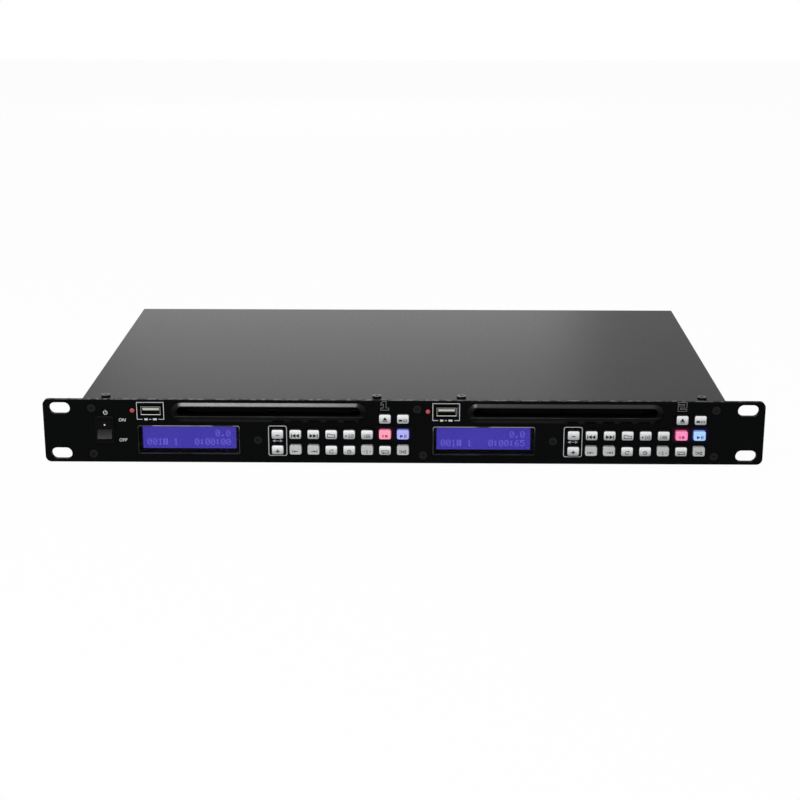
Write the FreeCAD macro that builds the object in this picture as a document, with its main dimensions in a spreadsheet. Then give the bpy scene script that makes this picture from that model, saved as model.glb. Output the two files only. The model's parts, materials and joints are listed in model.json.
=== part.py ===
"""Twin slot-loading disc player for a 19 inch rack, one unit high.

The frame is the rack's: the origin is the middle of the front panel's back face, which is the face
that seats on the rack rails. +X runs to the right as seen from the front, +Y runs to the back of the
case and +Z is up. All sizes are in millimetres. Deck a is the left one and deck b the right one, and
they are the same pieces one deck_pitch apart.
"""

import FreeCAD
import Part
import math
import os
import re
import Sketcher
from FreeCAD import Placement, Rotation, Vector

# Driving dimensions: alias and value. A place is measured from the origin.
SIZES = {
    # front panel and its rack slots
    "panel_width": 482.6,
    "panel_height": 44.0,
    "panel_thick": 3.0,
    "panel_corner": 4.0,
    "panel_edge_round": 0.5,
    "rack_pitch_x": 460.0,
    "rack_pitch_z": 31.75,
    "rack_slot_length": 14.0,
    "rack_slot_width": 8.0,
    # sheet-metal case
    "case_width": 431.0,
    "case_depth": 258.0,
    "case_base": 22.0,
    "cover_top": 21.5,
    "cover_sheet": 1.0,
    "cover_front_gap": 1.2,
    "cover_side_foot": 2.5,
    "cover_bend": 0.9,
    "cover_back_lip": 8.0,
    "tray_sheet": 1.0,
    "tray_lip": 12.0,
    "sheet_gap": 0.2,
    "vent_width": 2.5,
    "vent_length": 16.0,
    "vent_pitch": 6.0,
    "vent_count": 12,
    "vent_start": 60.0,
    # what repeats from deck to deck
    "deck_pitch": 198.0,
    # keys
    "key_column": -84.0,
    "key_row": -12.0,
    "key_pitch_x": 12.0,
    "key_pitch_z": 11.0,
    "key_width": 8.0,
    "key_height": 6.5,
    "key_corner": 1.3,
    "key_proud": 3.0,
    "key_edge_round": 0.6,
    "key_hole_gap": 0.25,
    "key_flange": 0.7,
    "key_flange_thick": 0.8,
    "key_stem_radius": 1.6,
    "key_travel_gap": 0.6,
    # disc slots and their bezels
    "slot_column": -89.7,
    "slot_row": 14.3,
    "slot_width": 123.0,
    "slot_height": 6.5,
    "bezel_row": 13.4,
    "bezel_width": 131.0,
    "bezel_height": 13.2,
    "bezel_foot": 0.4,
    "bezel_proud": 1.8,
    "bezel_slope": 55.0,
    "bezel_round": 0.4,
    "bezel_wall": 1.6,
    "bezel_depth": 6.0,
    # display
    "window_column": -143.8,
    "window_row": -6.0,
    "window_width": 68.6,
    "window_height": 20.3,
    "window_corner": 1.6,
    "window_proud": 0.5,
    "window_edge_round": 0.35,
    "window_flange": 2.0,
    "window_gap": 0.15,
    "module_gap": 0.3,
    "module_width": 74.0,
    "module_height": 25.0,
    "glass_width": 66.0,
    "glass_height": 17.0,
    "glass_depth": 0.8,
    # data sockets and lamps beside the slots
    "usb_column": -168.9,
    "usb_row": 14.3,
    "usb_width": 13.2,
    "usb_height": 5.8,
    "usb_wall": 0.35,
    "usb_lip": 0.9,
    "usb_slope": 42.0,
    "usb_tongue_width": 11.1,
    "usb_tongue_thick": 1.9,
    "usb_tongue_drop": 0.9,
    "usb_tongue_inset": 1.0,
    "usb_heel": 1.0,
    "lamp_column": -181.3,
    "lamp_row": 14.4,
    "lamp_radius": 1.5,
    # power switch
    "switch_column": -200.0,
    "switch_row": 1.0,
    "switch_width": 12.6,
    "switch_height": 19.2,
    "switch_proud": 1.0,
    "switch_corner": 1.0,
    "switch_mouth_width": 10.2,
    "switch_mouth_height": 14.4,
    "switch_body_width": 11.2,
    "switch_body_height": 16.8,
    "switch_body_depth": 15.0,
    "switch_well": 9.0,
    "rocker_gap": 0.25,
    "rocker_pivot": 2.0,
    "rocker_pin_radius": 0.9,
    "rocker_pin_end_gap": 0.1,
    "rocker_end_gap": 0.8,
    "rocker_tilt": 8.0,
    "rocker_face": 2.2,
    "rocker_valley": 1.1,
    # circuit boards
    "board_thick": 1.6,
    "board_front": 9.0,
    "board_window_margin": 0.5,
    "board_lamp_margin": 4.0,
    "board_usb_margin": 1.0,
    "board_key_margin": 2.0,
    "board_mech_gap": 1.0,
    "tact_size": 6.0,
    "tact_height": 3.5,
    # fasteners
    "screw_radius": 1.5,
    "screw_clearance": 0.15,
    "screw_length": 8.0,
    "sunk_head_radius": 2.7,
    "sunk_slope": 45.0,
    "pan_head_radius": 3.1,
    "pan_head_height": 1.7,
    "cross_width": 0.7,
    "cross_length": 3.2,
    "cross_depth": 1.0,
    "panel_screw_x": 208.6,
    "panel_screw_high": 16.0,
    "panel_screw_low": -16.2,
    "middle_screw_x": 9.5,
    "middle_screw_step": 4.0,
    "deck_screw_column": -97.5,
    "deck_screw_row": -6.0,
    "cover_screw_side": 200.0,
    "cover_screw_left": -17.6,
    "cover_screw_right": 39.0,
    "cover_screw_back": 5.4,
    "back_screw_x": 195.0,
    "side_screw_front": 40.0,
    "side_screw_pitch": 170.0,
    # disc mechanism; its places in depth are behind the panel's back face
    "mech_width": 140.0,
    "mech_front": 13.0,
    "mech_depth": 150.0,
    "mech_sheet": 1.2,
    "mech_floor": -16.0,
    "mech_roof_gap": 4.5,
    "mech_post_radius": 3.0,
    "mech_post_inset": 8.0,
    "disc_path": 4.6,
    "disc_centre": 80.0,
    "roller_shaft_radius": 1.5,
    "roller_radius": 4.0,
    "roller_depth": 22.0,
    "roller_length": 52.0,
    "roller_taper": 1.0,
    "roller_middle_gap": 2.0,
    "running_gap": 0.05,
    "disc_gap": 0.4,
    "turntable_radius": 15.0,
    "turntable_thick": 2.0,
    "hub_radius": 7.3,
    "hub_height": 1.6,
    "hub_taper": 1.2,
    "spindle_radius": 1.0,
    "spindle_length": 8.0,
    "motor_radius": 12.0,
    "motor_height": 9.0,
    "motor_gap": 1.0,
    "rod_radius": 1.5,
    "rod_drop": 9.0,
    "rod_spread": 18.0,
    "rod_length": 66.0,
    "rod_block_thick": 4.0,
    "rod_block_margin": 4.0,
    "rod_block_gap": 2.0,
    "pickup_length": 20.0,
    "pickup_height": 8.0,
    "pickup_width": 46.0,
    "pickup_start": 22.0,
    "pickup_under_rod": 3.0,
    "lens_inset": 4.0,
    "lens_radius": 2.5,
    "lens_height": 1.5,
    # power supply and main board; parts are placed from their board's left front corner
    "supply_column": -140.0,
    "supply_width": 120.0,
    "supply_depth": 62.0,
    "main_column": 90.0,
    "main_width": 190.0,
    "main_depth": 62.0,
    "board_standoff": 5.0,
    "standoff_radius": 2.5,
    "standoff_inset": 5.0,
    "board_back_gap": 8.0,
    "transformer_x": 68.0,
    "transformer_y": 12.0,
    "transformer_width": 30.0,
    "transformer_depth": 34.0,
    "transformer_height": 24.0,
    "bulk_capacitor_x": 50.0,
    "bulk_capacitor_y": 22.0,
    "bulk_capacitor_radius": 8.0,
    "bulk_capacitor_height": 25.0,
    "heat_sink_x": 104.0,
    "heat_sink_y": 10.0,
    "heat_sink_thick": 3.0,
    "heat_sink_length": 42.0,
    "heat_sink_height": 22.0,
    "line_filter_x": 12.0,
    "line_filter_y": 16.0,
    "line_filter_width": 22.0,
    "line_filter_depth": 16.0,
    "line_filter_height": 14.0,
    "fuse_x": 12.0,
    "fuse_y": 10.0,
    "fuse_radius": 3.0,
    "fuse_length": 22.0,
    "circuit_first": 30.0,
    "circuit_pitch": 90.0,
    "processor_y": 18.0,
    "processor_size": 20.0,
    "processor_height": 1.6,
    "memory_x": 28.0,
    "memory_y": 22.0,
    "memory_width": 10.0,
    "memory_depth": 12.0,
    "memory_height": 1.2,
    "capacitor_x": 48.0,
    "capacitor_y": 14.0,
    "capacitor_radius": 4.0,
    "capacitor_height": 11.0,
    # sockets on the back wall
    "inlet_column": -180.0,
    "inlet_row": -4.0,
    "inlet_width": 27.0,
    "inlet_height": 20.0,
    "inlet_wall": 1.6,
    "inlet_corner": 3.0,
    "inlet_rim": 2.0,
    "inlet_rim_corner": 4.0,
    "inlet_cavity_corner": 2.0,
    "inlet_proud": 2.0,
    "inlet_depth": 17.0,
    "inlet_pin_thick": 2.0,
    "inlet_pin_height": 4.0,
    "inlet_pin_pitch": 14.0,
    "inlet_pin_rise": 2.0,
    "inlet_pin_inset": 2.0,
    "jack_column": 30.0,
    "jack_row": -3.0,
    "jack_pitch": 14.0,
    "jack_radius": 4.15,
    "jack_bore_radius": 1.6,
    "jack_length": 9.0,
    "jack_block_depth": 12.0,
    "jack_root": 1.0,
}

DECKS = ("a", "b")
KEY_ROWS = (
    ("pitch_up", "loop_in", "loop_out", "reloop", "time", "single", "repeat", "shuffle"),
    ("pitch_down", "previous", "next", "folder", "plus_ten", "program", "cue", "play"),
)
TOP_KEYS = ("eject", "mode")
TOP_KEY_COLUMN = 6
TOP_KEY_ROW = 2
ALONG_X = Vector(1, 0, 0)
ALONG_Y = Vector(0, 1, 0)
ALONG_Z = Vector(0, 0, 1)

doc = FreeCAD.newDocument("disc_player")
sheet = doc.addObject("Spreadsheet::Sheet", "Sizes")
for row_number, (alias, size) in enumerate(SIZES.items(), start=1):
    sheet.set(f"A{row_number}", str(size))
    sheet.setAlias(f"A{row_number}", alias)
doc.recompute()
nodes = []


# ---- tools: expressions, sketches and features ----


def value(expression):
    """The number that an expression of the sheet's aliases has now."""
    return float(sheet.evalExpression(expression))


def drive(item, prop, expression):
    """Ties a property to an expression of the sheet's aliases."""
    tied = re.sub(r"[a-z][a-z_]*", lambda m: f"Sizes.{m[0]}" if m[0] in SIZES else m[0], expression)
    item.setExpression(prop, tied)


def move_to(item, x="0", y="0", z="0", rotation=None):
    """Places an object by expressions, with an optional fixed rotation."""
    if rotation is not None:
        item.Placement = Placement(Vector(), rotation)
    for letter, expression in zip("xyz", (x, y, z)):
        drive(item, f"Placement.Base.{letter}", expression)
    return item


def node(item, label):
    """Names an object as a sub-part that is written to its own file."""
    item.Label = label
    nodes.append(item)
    return item


def new_body(name):
    return doc.addObject("PartDesign::Body", name)


def deck_shift(deck):
    """What deck b's places add to deck a's."""
    return "0" if deck == DECKS[0] else "deck_pitch"


def sketch_on(body, plane, place):
    """A sketch parallel to a plane of the body: XZ at y = place, XY at z = place, YZ at x = place."""
    base = next(f for f in body.Origin.OriginFeatures if f.Role == f"{plane}_Plane")
    sketch = body.newObject("Sketcher::SketchObject", "outline")
    sketch.AttachmentSupport = [(base, "")]
    sketch.MapMode = "FlatFace"
    drive(sketch, "AttachmentOffset.Base.z", f"-({place})" if plane == "XZ" else place)
    return sketch


def pin(sketch, kind, geometry, point, expression):
    """Holds one point of a sketch at an expression along x or y."""
    index = sketch.addConstraint(
        Sketcher.Constraint(f"Distance{kind}", -1, 1, geometry, point, value(expression))
    )
    drive(sketch, f"Constraints[{index}]", expression)


def add_circle(sketch, x, y, radius):
    centre = Vector(value(x), value(y), 0)
    circle = sketch.addGeometry(Part.Circle(centre, ALONG_Z, value(radius)), False)
    index = sketch.addConstraint(Sketcher.Constraint("Radius", circle, value(radius)))
    drive(sketch, f"Constraints[{index}]", radius)
    pin(sketch, "X", circle, 3, x)
    pin(sketch, "Y", circle, 3, y)


def add_polygon(sketch, points):
    """A closed outline of straight lines through points given as pairs of expressions."""
    spots = [Vector(value(x), value(y), 0) for x, y in points]
    count = len(spots)
    lines = [
        sketch.addGeometry(Part.LineSegment(spots[i], spots[(i + 1) % count]), False)
        for i in range(count)
    ]
    for i, (x, y) in enumerate(points):
        joined = Sketcher.Constraint("Coincident", lines[i - 1], 2, lines[i], 1)
        sketch.addConstraint(joined)
        pin(sketch, "X", lines[i], 1, x)
        pin(sketch, "Y", lines[i], 1, y)


def add_rectangle(sketch, x, y, width, height):
    left, right = f"{x} - ({width}) / 2", f"{x} + ({width}) / 2"
    low, high = f"{y} - ({height}) / 2", f"{y} + ({height}) / 2"
    add_polygon(sketch, [(left, low), (right, low), (right, high), (left, high)])


def add_rounded(sketch, x, y, width, height, radius):
    """A rectangle with round corners, centred at x, y."""
    cx, cy, w, h, r = (value(e) for e in (x, y, width, height, radius))
    left, right, low, high = cx - w / 2, cx + w / 2, cy - h / 2, cy + h / 2
    sides = (
        ((left + r, low), (right - r, low)),
        ((right, low + r), (right, high - r)),
        ((right - r, high), (left + r, high)),
        ((left, high - r), (left, low + r)),
    )
    centres = ((right - r, low + r), (right - r, high - r), (left + r, high - r), (left + r, low + r))
    lines = [
        sketch.addGeometry(Part.LineSegment(Vector(*start), Vector(*end)), False) for start, end in sides
    ]
    arcs = []
    for i, centre in enumerate(centres):
        start = math.pi / 2 * (i - 1)
        circle = Part.Circle(Vector(*centre), ALONG_Z, r)
        arcs.append(sketch.addGeometry(Part.ArcOfCircle(circle, start, start + math.pi / 2), False))
    rules = [Sketcher.Constraint("Horizontal", lines[0]), Sketcher.Constraint("Horizontal", lines[2])]
    rules += [Sketcher.Constraint("Vertical", lines[1]), Sketcher.Constraint("Vertical", lines[3])]
    for i, arc in enumerate(arcs):
        rules.append(Sketcher.Constraint("Tangent", lines[i], 2, arc, 1))
        rules.append(Sketcher.Constraint("Tangent", arc, 2, lines[(i + 1) % 4], 1))
    rules += [Sketcher.Constraint("Equal", arcs[0], arc) for arc in arcs[1:]]
    sketch.addConstraint(rules)
    index = sketch.addConstraint(Sketcher.Constraint("Radius", arcs[0], r))
    drive(sketch, f"Constraints[{index}]", radius)
    pin(sketch, "Y", lines[0], 1, f"{y} - ({height}) / 2")
    pin(sketch, "X", lines[1], 1, f"{x} + ({width}) / 2")
    pin(sketch, "Y", lines[2], 1, f"{y} + ({height}) / 2")
    pin(sketch, "X", lines[3], 1, f"{x} - ({width}) / 2")


def add_obround(sketch, x, y, width, height):
    """A slot with half-round ends, centred at x, y, its length along the sketch's x."""
    cx, cy, w, h = (value(e) for e in (x, y, width, height))
    r = h / 2
    reach = w / 2 - r
    right = Part.ArcOfCircle(Part.Circle(Vector(cx + reach, cy), ALONG_Z, r), -math.pi / 2, math.pi / 2)
    left = Part.ArcOfCircle(Part.Circle(Vector(cx - reach, cy), ALONG_Z, r), math.pi / 2, 3 * math.pi / 2)
    bottom = Part.LineSegment(Vector(cx - reach, cy - r), Vector(cx + reach, cy - r))
    low = sketch.addGeometry(bottom, False)
    east = sketch.addGeometry(right, False)
    top = Part.LineSegment(Vector(cx + reach, cy + r), Vector(cx - reach, cy + r))
    high = sketch.addGeometry(top, False)
    west = sketch.addGeometry(left, False)
    sketch.addConstraint(
        [
            Sketcher.Constraint("Tangent", low, 2, east, 1),
            Sketcher.Constraint("Tangent", east, 2, high, 1),
            Sketcher.Constraint("Tangent", high, 2, west, 1),
            Sketcher.Constraint("Tangent", west, 2, low, 1),
            Sketcher.Constraint("Horizontal", low),
        ]
    )
    index = sketch.addConstraint(Sketcher.Constraint("Radius", east, r))
    drive(sketch, f"Constraints[{index}]", f"({height}) / 2")
    pin(sketch, "X", east, 3, f"{x} + ({width}) / 2 - ({height}) / 2")
    pin(sketch, "Y", east, 3, y)
    pin(sketch, "X", west, 3, f"{x} - ({width}) / 2 + ({height}) / 2")


def extrude(body, kind, sketch, length, flip=False, symmetric=False, taper=None):
    """A Pad or Pocket of a sketch. Unflipped, a pad grows along the plane's normal and a pocket against it.

    The normal is -Y for XZ, +Z for XY and +X for YZ."""
    feature = body.newObject(f"PartDesign::{kind}", kind)
    feature.Profile = sketch
    feature.Reversed = flip
    if symmetric:
        feature.SideType = "Symmetric"
    drive(feature, "Length", length)
    if taper is not None:
        drive(feature, "TaperAngle", taper)
    sketch.Visibility = False
    return feature


def repeat(body, feature, along, length, count, second=None):
    """A linear pattern of a feature along one axis of the body, and along a second one if given."""
    axes = {f.Role: f for f in body.Origin.OriginFeatures}
    pattern = body.newObject("PartDesign::LinearPattern", "row")
    pattern.Originals = [feature]
    pattern.Direction = (axes[f"{along}_Axis"], [""])
    drive(pattern, "Length", length)
    pattern.Occurrences = count
    if second is not None:
        axis, reach, number = second
        pattern.Direction2 = (axes[f"{axis}_Axis"], [""])
        drive(pattern, "Length2", reach)
        pattern.Occurrences2 = number
    body.Tip = pattern
    return pattern


def end_face(feature, direction):
    """The name of a feature's flat face that lies furthest along a direction and looks that way."""
    faces = [
        (face.CenterOfMass.dot(direction), face.Area, f"Face{i}")
        for i, face in enumerate(feature.Shape.Faces, start=1)
        if face.Surface.TypeId == "Part::GeomPlane"
        and (face.normalAt(0, 0) - direction).Length < 1e-6
    ]
    furthest = max(reach for reach, _, _ in faces)
    return max(face for face in faces if face[0] > furthest - 1e-6)[2]


def round_edges(body, feature, edges, radius, kind="Fillet"):
    """A Fillet or Chamfer of named edges or of all the edges of named faces."""
    finish = body.newObject(f"PartDesign::{kind}", kind)
    finish.Base = (feature, edges)
    drive(finish, "Radius" if kind == "Fillet" else "Size", radius)
    body.Tip = finish
    return finish


def box(name, x, y, z, length, width, height):
    """A Part box from its low corner, every size an expression."""
    item = doc.addObject("Part::Box", name)
    drive(item, "Length", length)
    drive(item, "Width", width)
    drive(item, "Height", height)
    return move_to(item, x, y, z)


def cylinder(name, x, y, z, radius, height, along=ALONG_Z):
    item = doc.addObject("Part::Cylinder", name)
    drive(item, "Radius", radius)
    drive(item, "Height", height)
    return move_to(item, x, y, z, Rotation(ALONG_Z, along))


def cone(name, x, y, z, radius, end_radius, height, along=ALONG_Z):
    item = doc.addObject("Part::Cone", name)
    drive(item, "Radius1", radius)
    drive(item, "Radius2", end_radius)
    drive(item, "Height", height)
    return move_to(item, x, y, z, Rotation(ALONG_Z, along))


def fuse(name, items):
    item = doc.addObject("Part::MultiFuse", name)
    item.Shapes = items
    return item


def cut(name, base, tools):
    item = doc.addObject("Part::Cut", name)
    item.Base = base
    item.Tool = tools[0] if len(tools) == 1 else fuse(f"{name}_tools", tools)
    return item


def group(name, items):
    """Separate solids that share one file, such as identical fasteners."""
    item = doc.addObject("Part::Compound", name)
    item.Links = items
    return item


# ---- expressions that several pieces share ----

PANEL_FRONT = "-panel_thick"
TRAY_WIDTH = "case_width - 2 * cover_sheet - 2 * sheet_gap"
TRAY_TOP = "cover_top - cover_sheet - sheet_gap"
TRAY_FLOOR = "-case_base + tray_sheet"
DISC_LOW = "slot_row - disc_path / 2"
BACK_WALL = "case_depth - cover_sheet - sheet_gap"
USB_DEPTH = "panel_thick + board_front"
SPIGOT_WIDTH = "slot_width + 2 * bezel_wall"
SPIGOT_HEIGHT = "slot_height + 2 * bezel_wall"
SWITCH_HOLE = ("switch_body_width + 2 * sheet_gap", "switch_body_height + 2 * sheet_gap")
ROD_START = "disc_centre + motor_radius + rod_block_gap"
MOTOR_TOP = f"{DISC_LOW} - disc_gap - hub_height - turntable_thick - motor_gap"


def plus(base, shift):
    return f"{base} + {shift}"


def panel_screw_places():
    """The x and z of the screws that hold the front panel to the tray."""
    rows = ("panel_screw_high", "panel_screw_low")
    places = [(f"{side} * panel_screw_x", row) for side in ("-1", "1") for row in rows]
    places += zip(("middle_screw_x", "middle_screw_x + middle_screw_step"), rows)
    places += [(plus("deck_screw_column", deck_shift(deck)), "deck_screw_row") for deck in DECKS]
    return places


# ---- front panel and case ----


def make_front_panel():
    body = new_body("front_panel")
    blank = sketch_on(body, "XZ", PANEL_FRONT)
    add_rounded(blank, "0", "0", "panel_width", "panel_height", "panel_corner")
    plate = extrude(body, "Pad", blank, "panel_thick", flip=True)
    doc.recompute()
    round_edges(body, plate, [end_face(plate, -ALONG_Y)], "panel_edge_round")

    slots = sketch_on(body, "XZ", PANEL_FRONT)
    add_obround(slots, "-rack_pitch_x / 2", "-rack_pitch_z / 2", "rack_slot_length", "rack_slot_width")
    slot = extrude(body, "Pocket", slots, "panel_thick")
    repeat(body, slot, "X", "rack_pitch_x", 2, ("Z", "rack_pitch_z", 2))

    holes = sketch_on(body, "XZ", PANEL_FRONT)
    sinks = sketch_on(body, "XZ", PANEL_FRONT)
    for x, z in panel_screw_places():
        add_circle(holes, x, z, "screw_radius + screw_clearance")
        add_circle(sinks, x, z, "sunk_head_radius + screw_clearance")
    extrude(body, "Pocket", holes, "panel_thick")
    extrude(body, "Pocket", sinks, "sunk_head_radius - screw_radius", taper="-sunk_slope")

    switch = sketch_on(body, "XZ", PANEL_FRONT)
    add_rectangle(switch, "switch_column", "switch_row", *SWITCH_HOLE)
    extrude(body, "Pocket", switch, "panel_thick")

    for deck in DECKS:
        shift = deck_shift(deck)
        mouths = sketch_on(body, "XZ", PANEL_FRONT)
        add_obround(
            mouths,
            plus("slot_column", shift),
            "slot_row",
            f"{SPIGOT_WIDTH} + 2 * sheet_gap",
            f"{SPIGOT_HEIGHT} + 2 * sheet_gap",
        )
        pane = ("window_width", "window_height", "window_corner")
        add_rounded(mouths, plus("window_column", shift), "window_row", *pane)
        add_rectangle(
            mouths,
            plus("usb_column", shift),
            "usb_row",
            "usb_width + 2 * usb_lip + 2 * sheet_gap",
            "usb_height + 2 * usb_lip + 2 * sheet_gap",
        )
        add_circle(mouths, plus("lamp_column", shift), "lamp_row", "lamp_radius + sheet_gap")
        extrude(body, "Pocket", mouths, "panel_thick")
        opening = (
            "key_width + 2 * key_hole_gap",
            "key_height + 2 * key_hole_gap",
            "key_corner + key_hole_gap",
        )
        low = sketch_on(body, "XZ", PANEL_FRONT)
        add_rounded(low, plus("key_column", shift), "key_row", *opening)
        key = extrude(body, "Pocket", low, "panel_thick")
        repeat(body, key, "X", "7 * key_pitch_x", 8, ("Z", "key_pitch_z", 2))
        top = sketch_on(body, "XZ", PANEL_FRONT)
        column = f"key_column + {TOP_KEY_COLUMN} * key_pitch_x"
        add_rounded(top, plus(column, shift), f"key_row + {TOP_KEY_ROW} * key_pitch_z", *opening)
        key = extrude(body, "Pocket", top, "panel_thick")
        repeat(body, key, "X", "key_pitch_x", 2)
    return node(body, "front_panel")


def make_chassis_tray():
    body = new_body("chassis_tray")
    outer = sketch_on(body, "XY", "-case_base")
    add_rectangle(outer, "0", f"({BACK_WALL}) / 2", TRAY_WIDTH, BACK_WALL)
    extrude(body, "Pad", outer, f"{TRAY_TOP} + case_base")
    inner = sketch_on(body, "XY", TRAY_TOP)
    add_rectangle(
        inner, "0", f"({BACK_WALL}) / 2", f"{TRAY_WIDTH} - 2 * tray_sheet", f"{BACK_WALL} - 2 * tray_sheet"
    )
    extrude(body, "Pocket", inner, f"{TRAY_TOP} + case_base - tray_sheet")
    lip = sketch_on(body, "XY", f"{TRAY_TOP} - tray_sheet")
    add_rectangle(lip, "0", "tray_lip / 2", TRAY_WIDTH, "tray_lip")
    extrude(body, "Pad", lip, "tray_sheet")

    front = sketch_on(body, "XZ", "0")
    add_rectangle(front, "switch_column", "switch_row", *SWITCH_HOLE)
    for x, z in panel_screw_places():
        add_circle(front, x, z, "screw_radius + running_gap")
    extrude(body, "Pocket", front, "tray_sheet")
    for deck in DECKS:
        shift = deck_shift(deck)
        mouths = sketch_on(body, "XZ", "0")
        add_obround(
            mouths,
            plus("slot_column", shift),
            "slot_row",
            f"{SPIGOT_WIDTH} + 2 * sheet_gap",
            f"{SPIGOT_HEIGHT} + 2 * sheet_gap",
        )
        add_rectangle(
            mouths,
            plus("window_column", shift),
            "window_row",
            "module_width + 2 * sheet_gap",
            "module_height + 2 * sheet_gap",
        )
        left = f"key_column - key_pitch_x / 2 + {shift}"
        right = f"key_column + 7.5 * key_pitch_x + {shift}"
        step = f"key_column + {TOP_KEY_COLUMN - 0.5} * key_pitch_x + {shift}"
        bottom = "key_row - key_pitch_z / 2"
        middle = "key_row + 1.5 * key_pitch_z"
        high = "key_row + 2.5 * key_pitch_z"
        add_polygon(
            mouths,
            [
                (left, bottom),
                (right, bottom),
                (right, high),
                (step, high),
                (step, middle),
                (left, middle),
            ],
        )
        add_rectangle(
            mouths,
            f"(usb_column + lamp_column) / 2 + {shift}",
            "usb_row",
            "usb_column - lamp_column + usb_width + 2 * usb_lip",
            "usb_height + 2 * usb_lip + 2 * sheet_gap",
        )
        extrude(body, "Pocket", mouths, "tray_sheet")

    back = sketch_on(body, "XZ", BACK_WALL)
    add_rectangle(
        back, "inlet_column", "inlet_row", "inlet_width + 2 * sheet_gap", "inlet_height + 2 * sheet_gap"
    )
    for deck in DECKS:
        for place in range(3):
            x = f"jack_column + {place} * jack_pitch + {deck_shift(deck)} / 2"
            add_circle(back, x, "jack_row", "jack_radius + sheet_gap")
    for x in ("-back_screw_x", "0", "back_screw_x"):
        add_circle(back, x, "cover_top - cover_back_lip / 2", "screw_radius + running_gap")
    extrude(body, "Pocket", back, "tray_sheet", flip=True)

    top = sketch_on(body, "XY", TRAY_TOP)
    for x in ("-cover_screw_side", "cover_screw_left", "cover_screw_right", "cover_screw_side"):
        add_circle(top, x, "cover_screw_back", "screw_radius + running_gap")
    extrude(body, "Pocket", top, "tray_sheet")
    for side in ("-1", "1"):
        wall = sketch_on(body, "YZ", f"{side} * ({TRAY_WIDTH}) / 2")
        for y in ("side_screw_front", "side_screw_front + side_screw_pitch"):
            add_circle(wall, y, "0", "screw_radius + running_gap")
        extrude(body, "Pocket", wall, "tray_sheet", flip=side == "-1")
    return node(body, "chassis_tray")


def make_top_cover():
    body = new_body("top_cover")
    outer = sketch_on(body, "XY", "-case_base + cover_side_foot")
    depth = "case_depth - cover_front_gap"
    middle = "(case_depth + cover_front_gap) / 2"
    add_rectangle(outer, "0", middle, "case_width", depth)
    shell = extrude(body, "Pad", outer, "cover_top + case_base - cover_side_foot")
    doc.recompute()
    bends = [
        f"Edge{i}"
        for i, edge in enumerate(shell.Shape.Edges, start=1)
        if abs(edge.CenterOfMass.z - value("cover_top")) < 1e-6
        and abs(edge.CenterOfMass.y - value("cover_front_gap")) > 1e-6
    ]
    round_edges(body, shell, bends, "cover_bend")
    inner = sketch_on(body, "XY", "-case_base + cover_side_foot")
    inside = "case_depth - cover_front_gap - cover_sheet"
    add_rectangle(
        inner, "0", f"cover_front_gap + ({inside}) / 2", "case_width - 2 * cover_sheet", inside
    )
    extrude(body, "Pocket", inner, "cover_top - cover_sheet + case_base - cover_side_foot", flip=True)
    back = sketch_on(body, "XY", "-case_base + cover_side_foot")
    add_rectangle(back, "0", "case_depth", "case_width - 2 * cover_sheet", "4 * cover_sheet")
    extrude(body, "Pocket", back, "cover_top + case_base - cover_side_foot - cover_back_lip", flip=True)

    top = sketch_on(body, "XY", "cover_top")
    for x in ("-cover_screw_side", "cover_screw_left", "cover_screw_right", "cover_screw_side"):
        add_circle(top, x, "cover_screw_back", "screw_radius + screw_clearance")
    extrude(body, "Pocket", top, "cover_sheet")
    lip = sketch_on(body, "XZ", "case_depth - cover_sheet")
    for x in ("-back_screw_x", "0", "back_screw_x"):
        add_circle(lip, x, "cover_top - cover_back_lip / 2", "screw_radius + screw_clearance")
    extrude(body, "Pocket", lip, "cover_sheet")
    sides = sketch_on(body, "YZ", "0")
    for y in ("side_screw_front", "side_screw_front + side_screw_pitch"):
        add_circle(sides, y, "0", "screw_radius + screw_clearance")
    extrude(body, "Pocket", sides, "case_width + cover_sheet", symmetric=True)
    vents = sketch_on(body, "YZ", "0")
    add_rounded(vents, "vent_start", "0", "vent_width", "vent_length", "vent_width / 2 - 0.01")
    vent = extrude(body, "Pocket", vents, "case_width + cover_sheet", symmetric=True)
    repeat(body, vent, "Y", "(vent_count - 1) * vent_pitch", int(SIZES["vent_count"]))
    return node(body, "top_cover")


# ---- fasteners ----


def cross_recess(name, x, y, z, along):
    """Two crossed bars, sunk into a screw head from the point on its face, towards along."""
    half = ("cross_length / 2", "cross_width / 2")
    bars = []
    for a, b in (half, half[::-1]):
        spans = {"u": a, "v": b}
        if along is ALONG_Y:
            low = (f"{x} - {spans['u']}", y, f"{z} - {spans['v']}")
            size = (f"2 * {spans['u']}", "cross_depth", f"2 * {spans['v']}")
        elif along is ALONG_Z:
            low = (f"{x} - {spans['u']}", f"{y} - {spans['v']}", f"{z} - cross_depth")
            size = (f"2 * {spans['u']}", f"2 * {spans['v']}", "cross_depth")
        else:
            low = (x, f"{y} - {spans['u']}", f"{z} - {spans['v']}")
            size = ("cross_depth", f"2 * {spans['u']}", f"2 * {spans['v']}")
        bars.append(box(f"{name}_bar", *low, *size))
    return bars


def make_panel_screws():
    screws = []
    for x, z in panel_screw_places():
        sizes = ("sunk_head_radius", "screw_radius", "sunk_head_radius - screw_radius")
        head = cone("sunk_head", x, PANEL_FRONT, z, *sizes, ALONG_Y)
        shank = cylinder("sunk_shank", x, PANEL_FRONT, z, "screw_radius", "screw_length", ALONG_Y)
        blank = fuse("sunk_blank", [head, shank])
        screws.append(cut("sunk_screw", blank, cross_recess("sunk", x, PANEL_FRONT, z, ALONG_Y)))
    return node(group("panel_screws", screws), "panel_screws")


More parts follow.
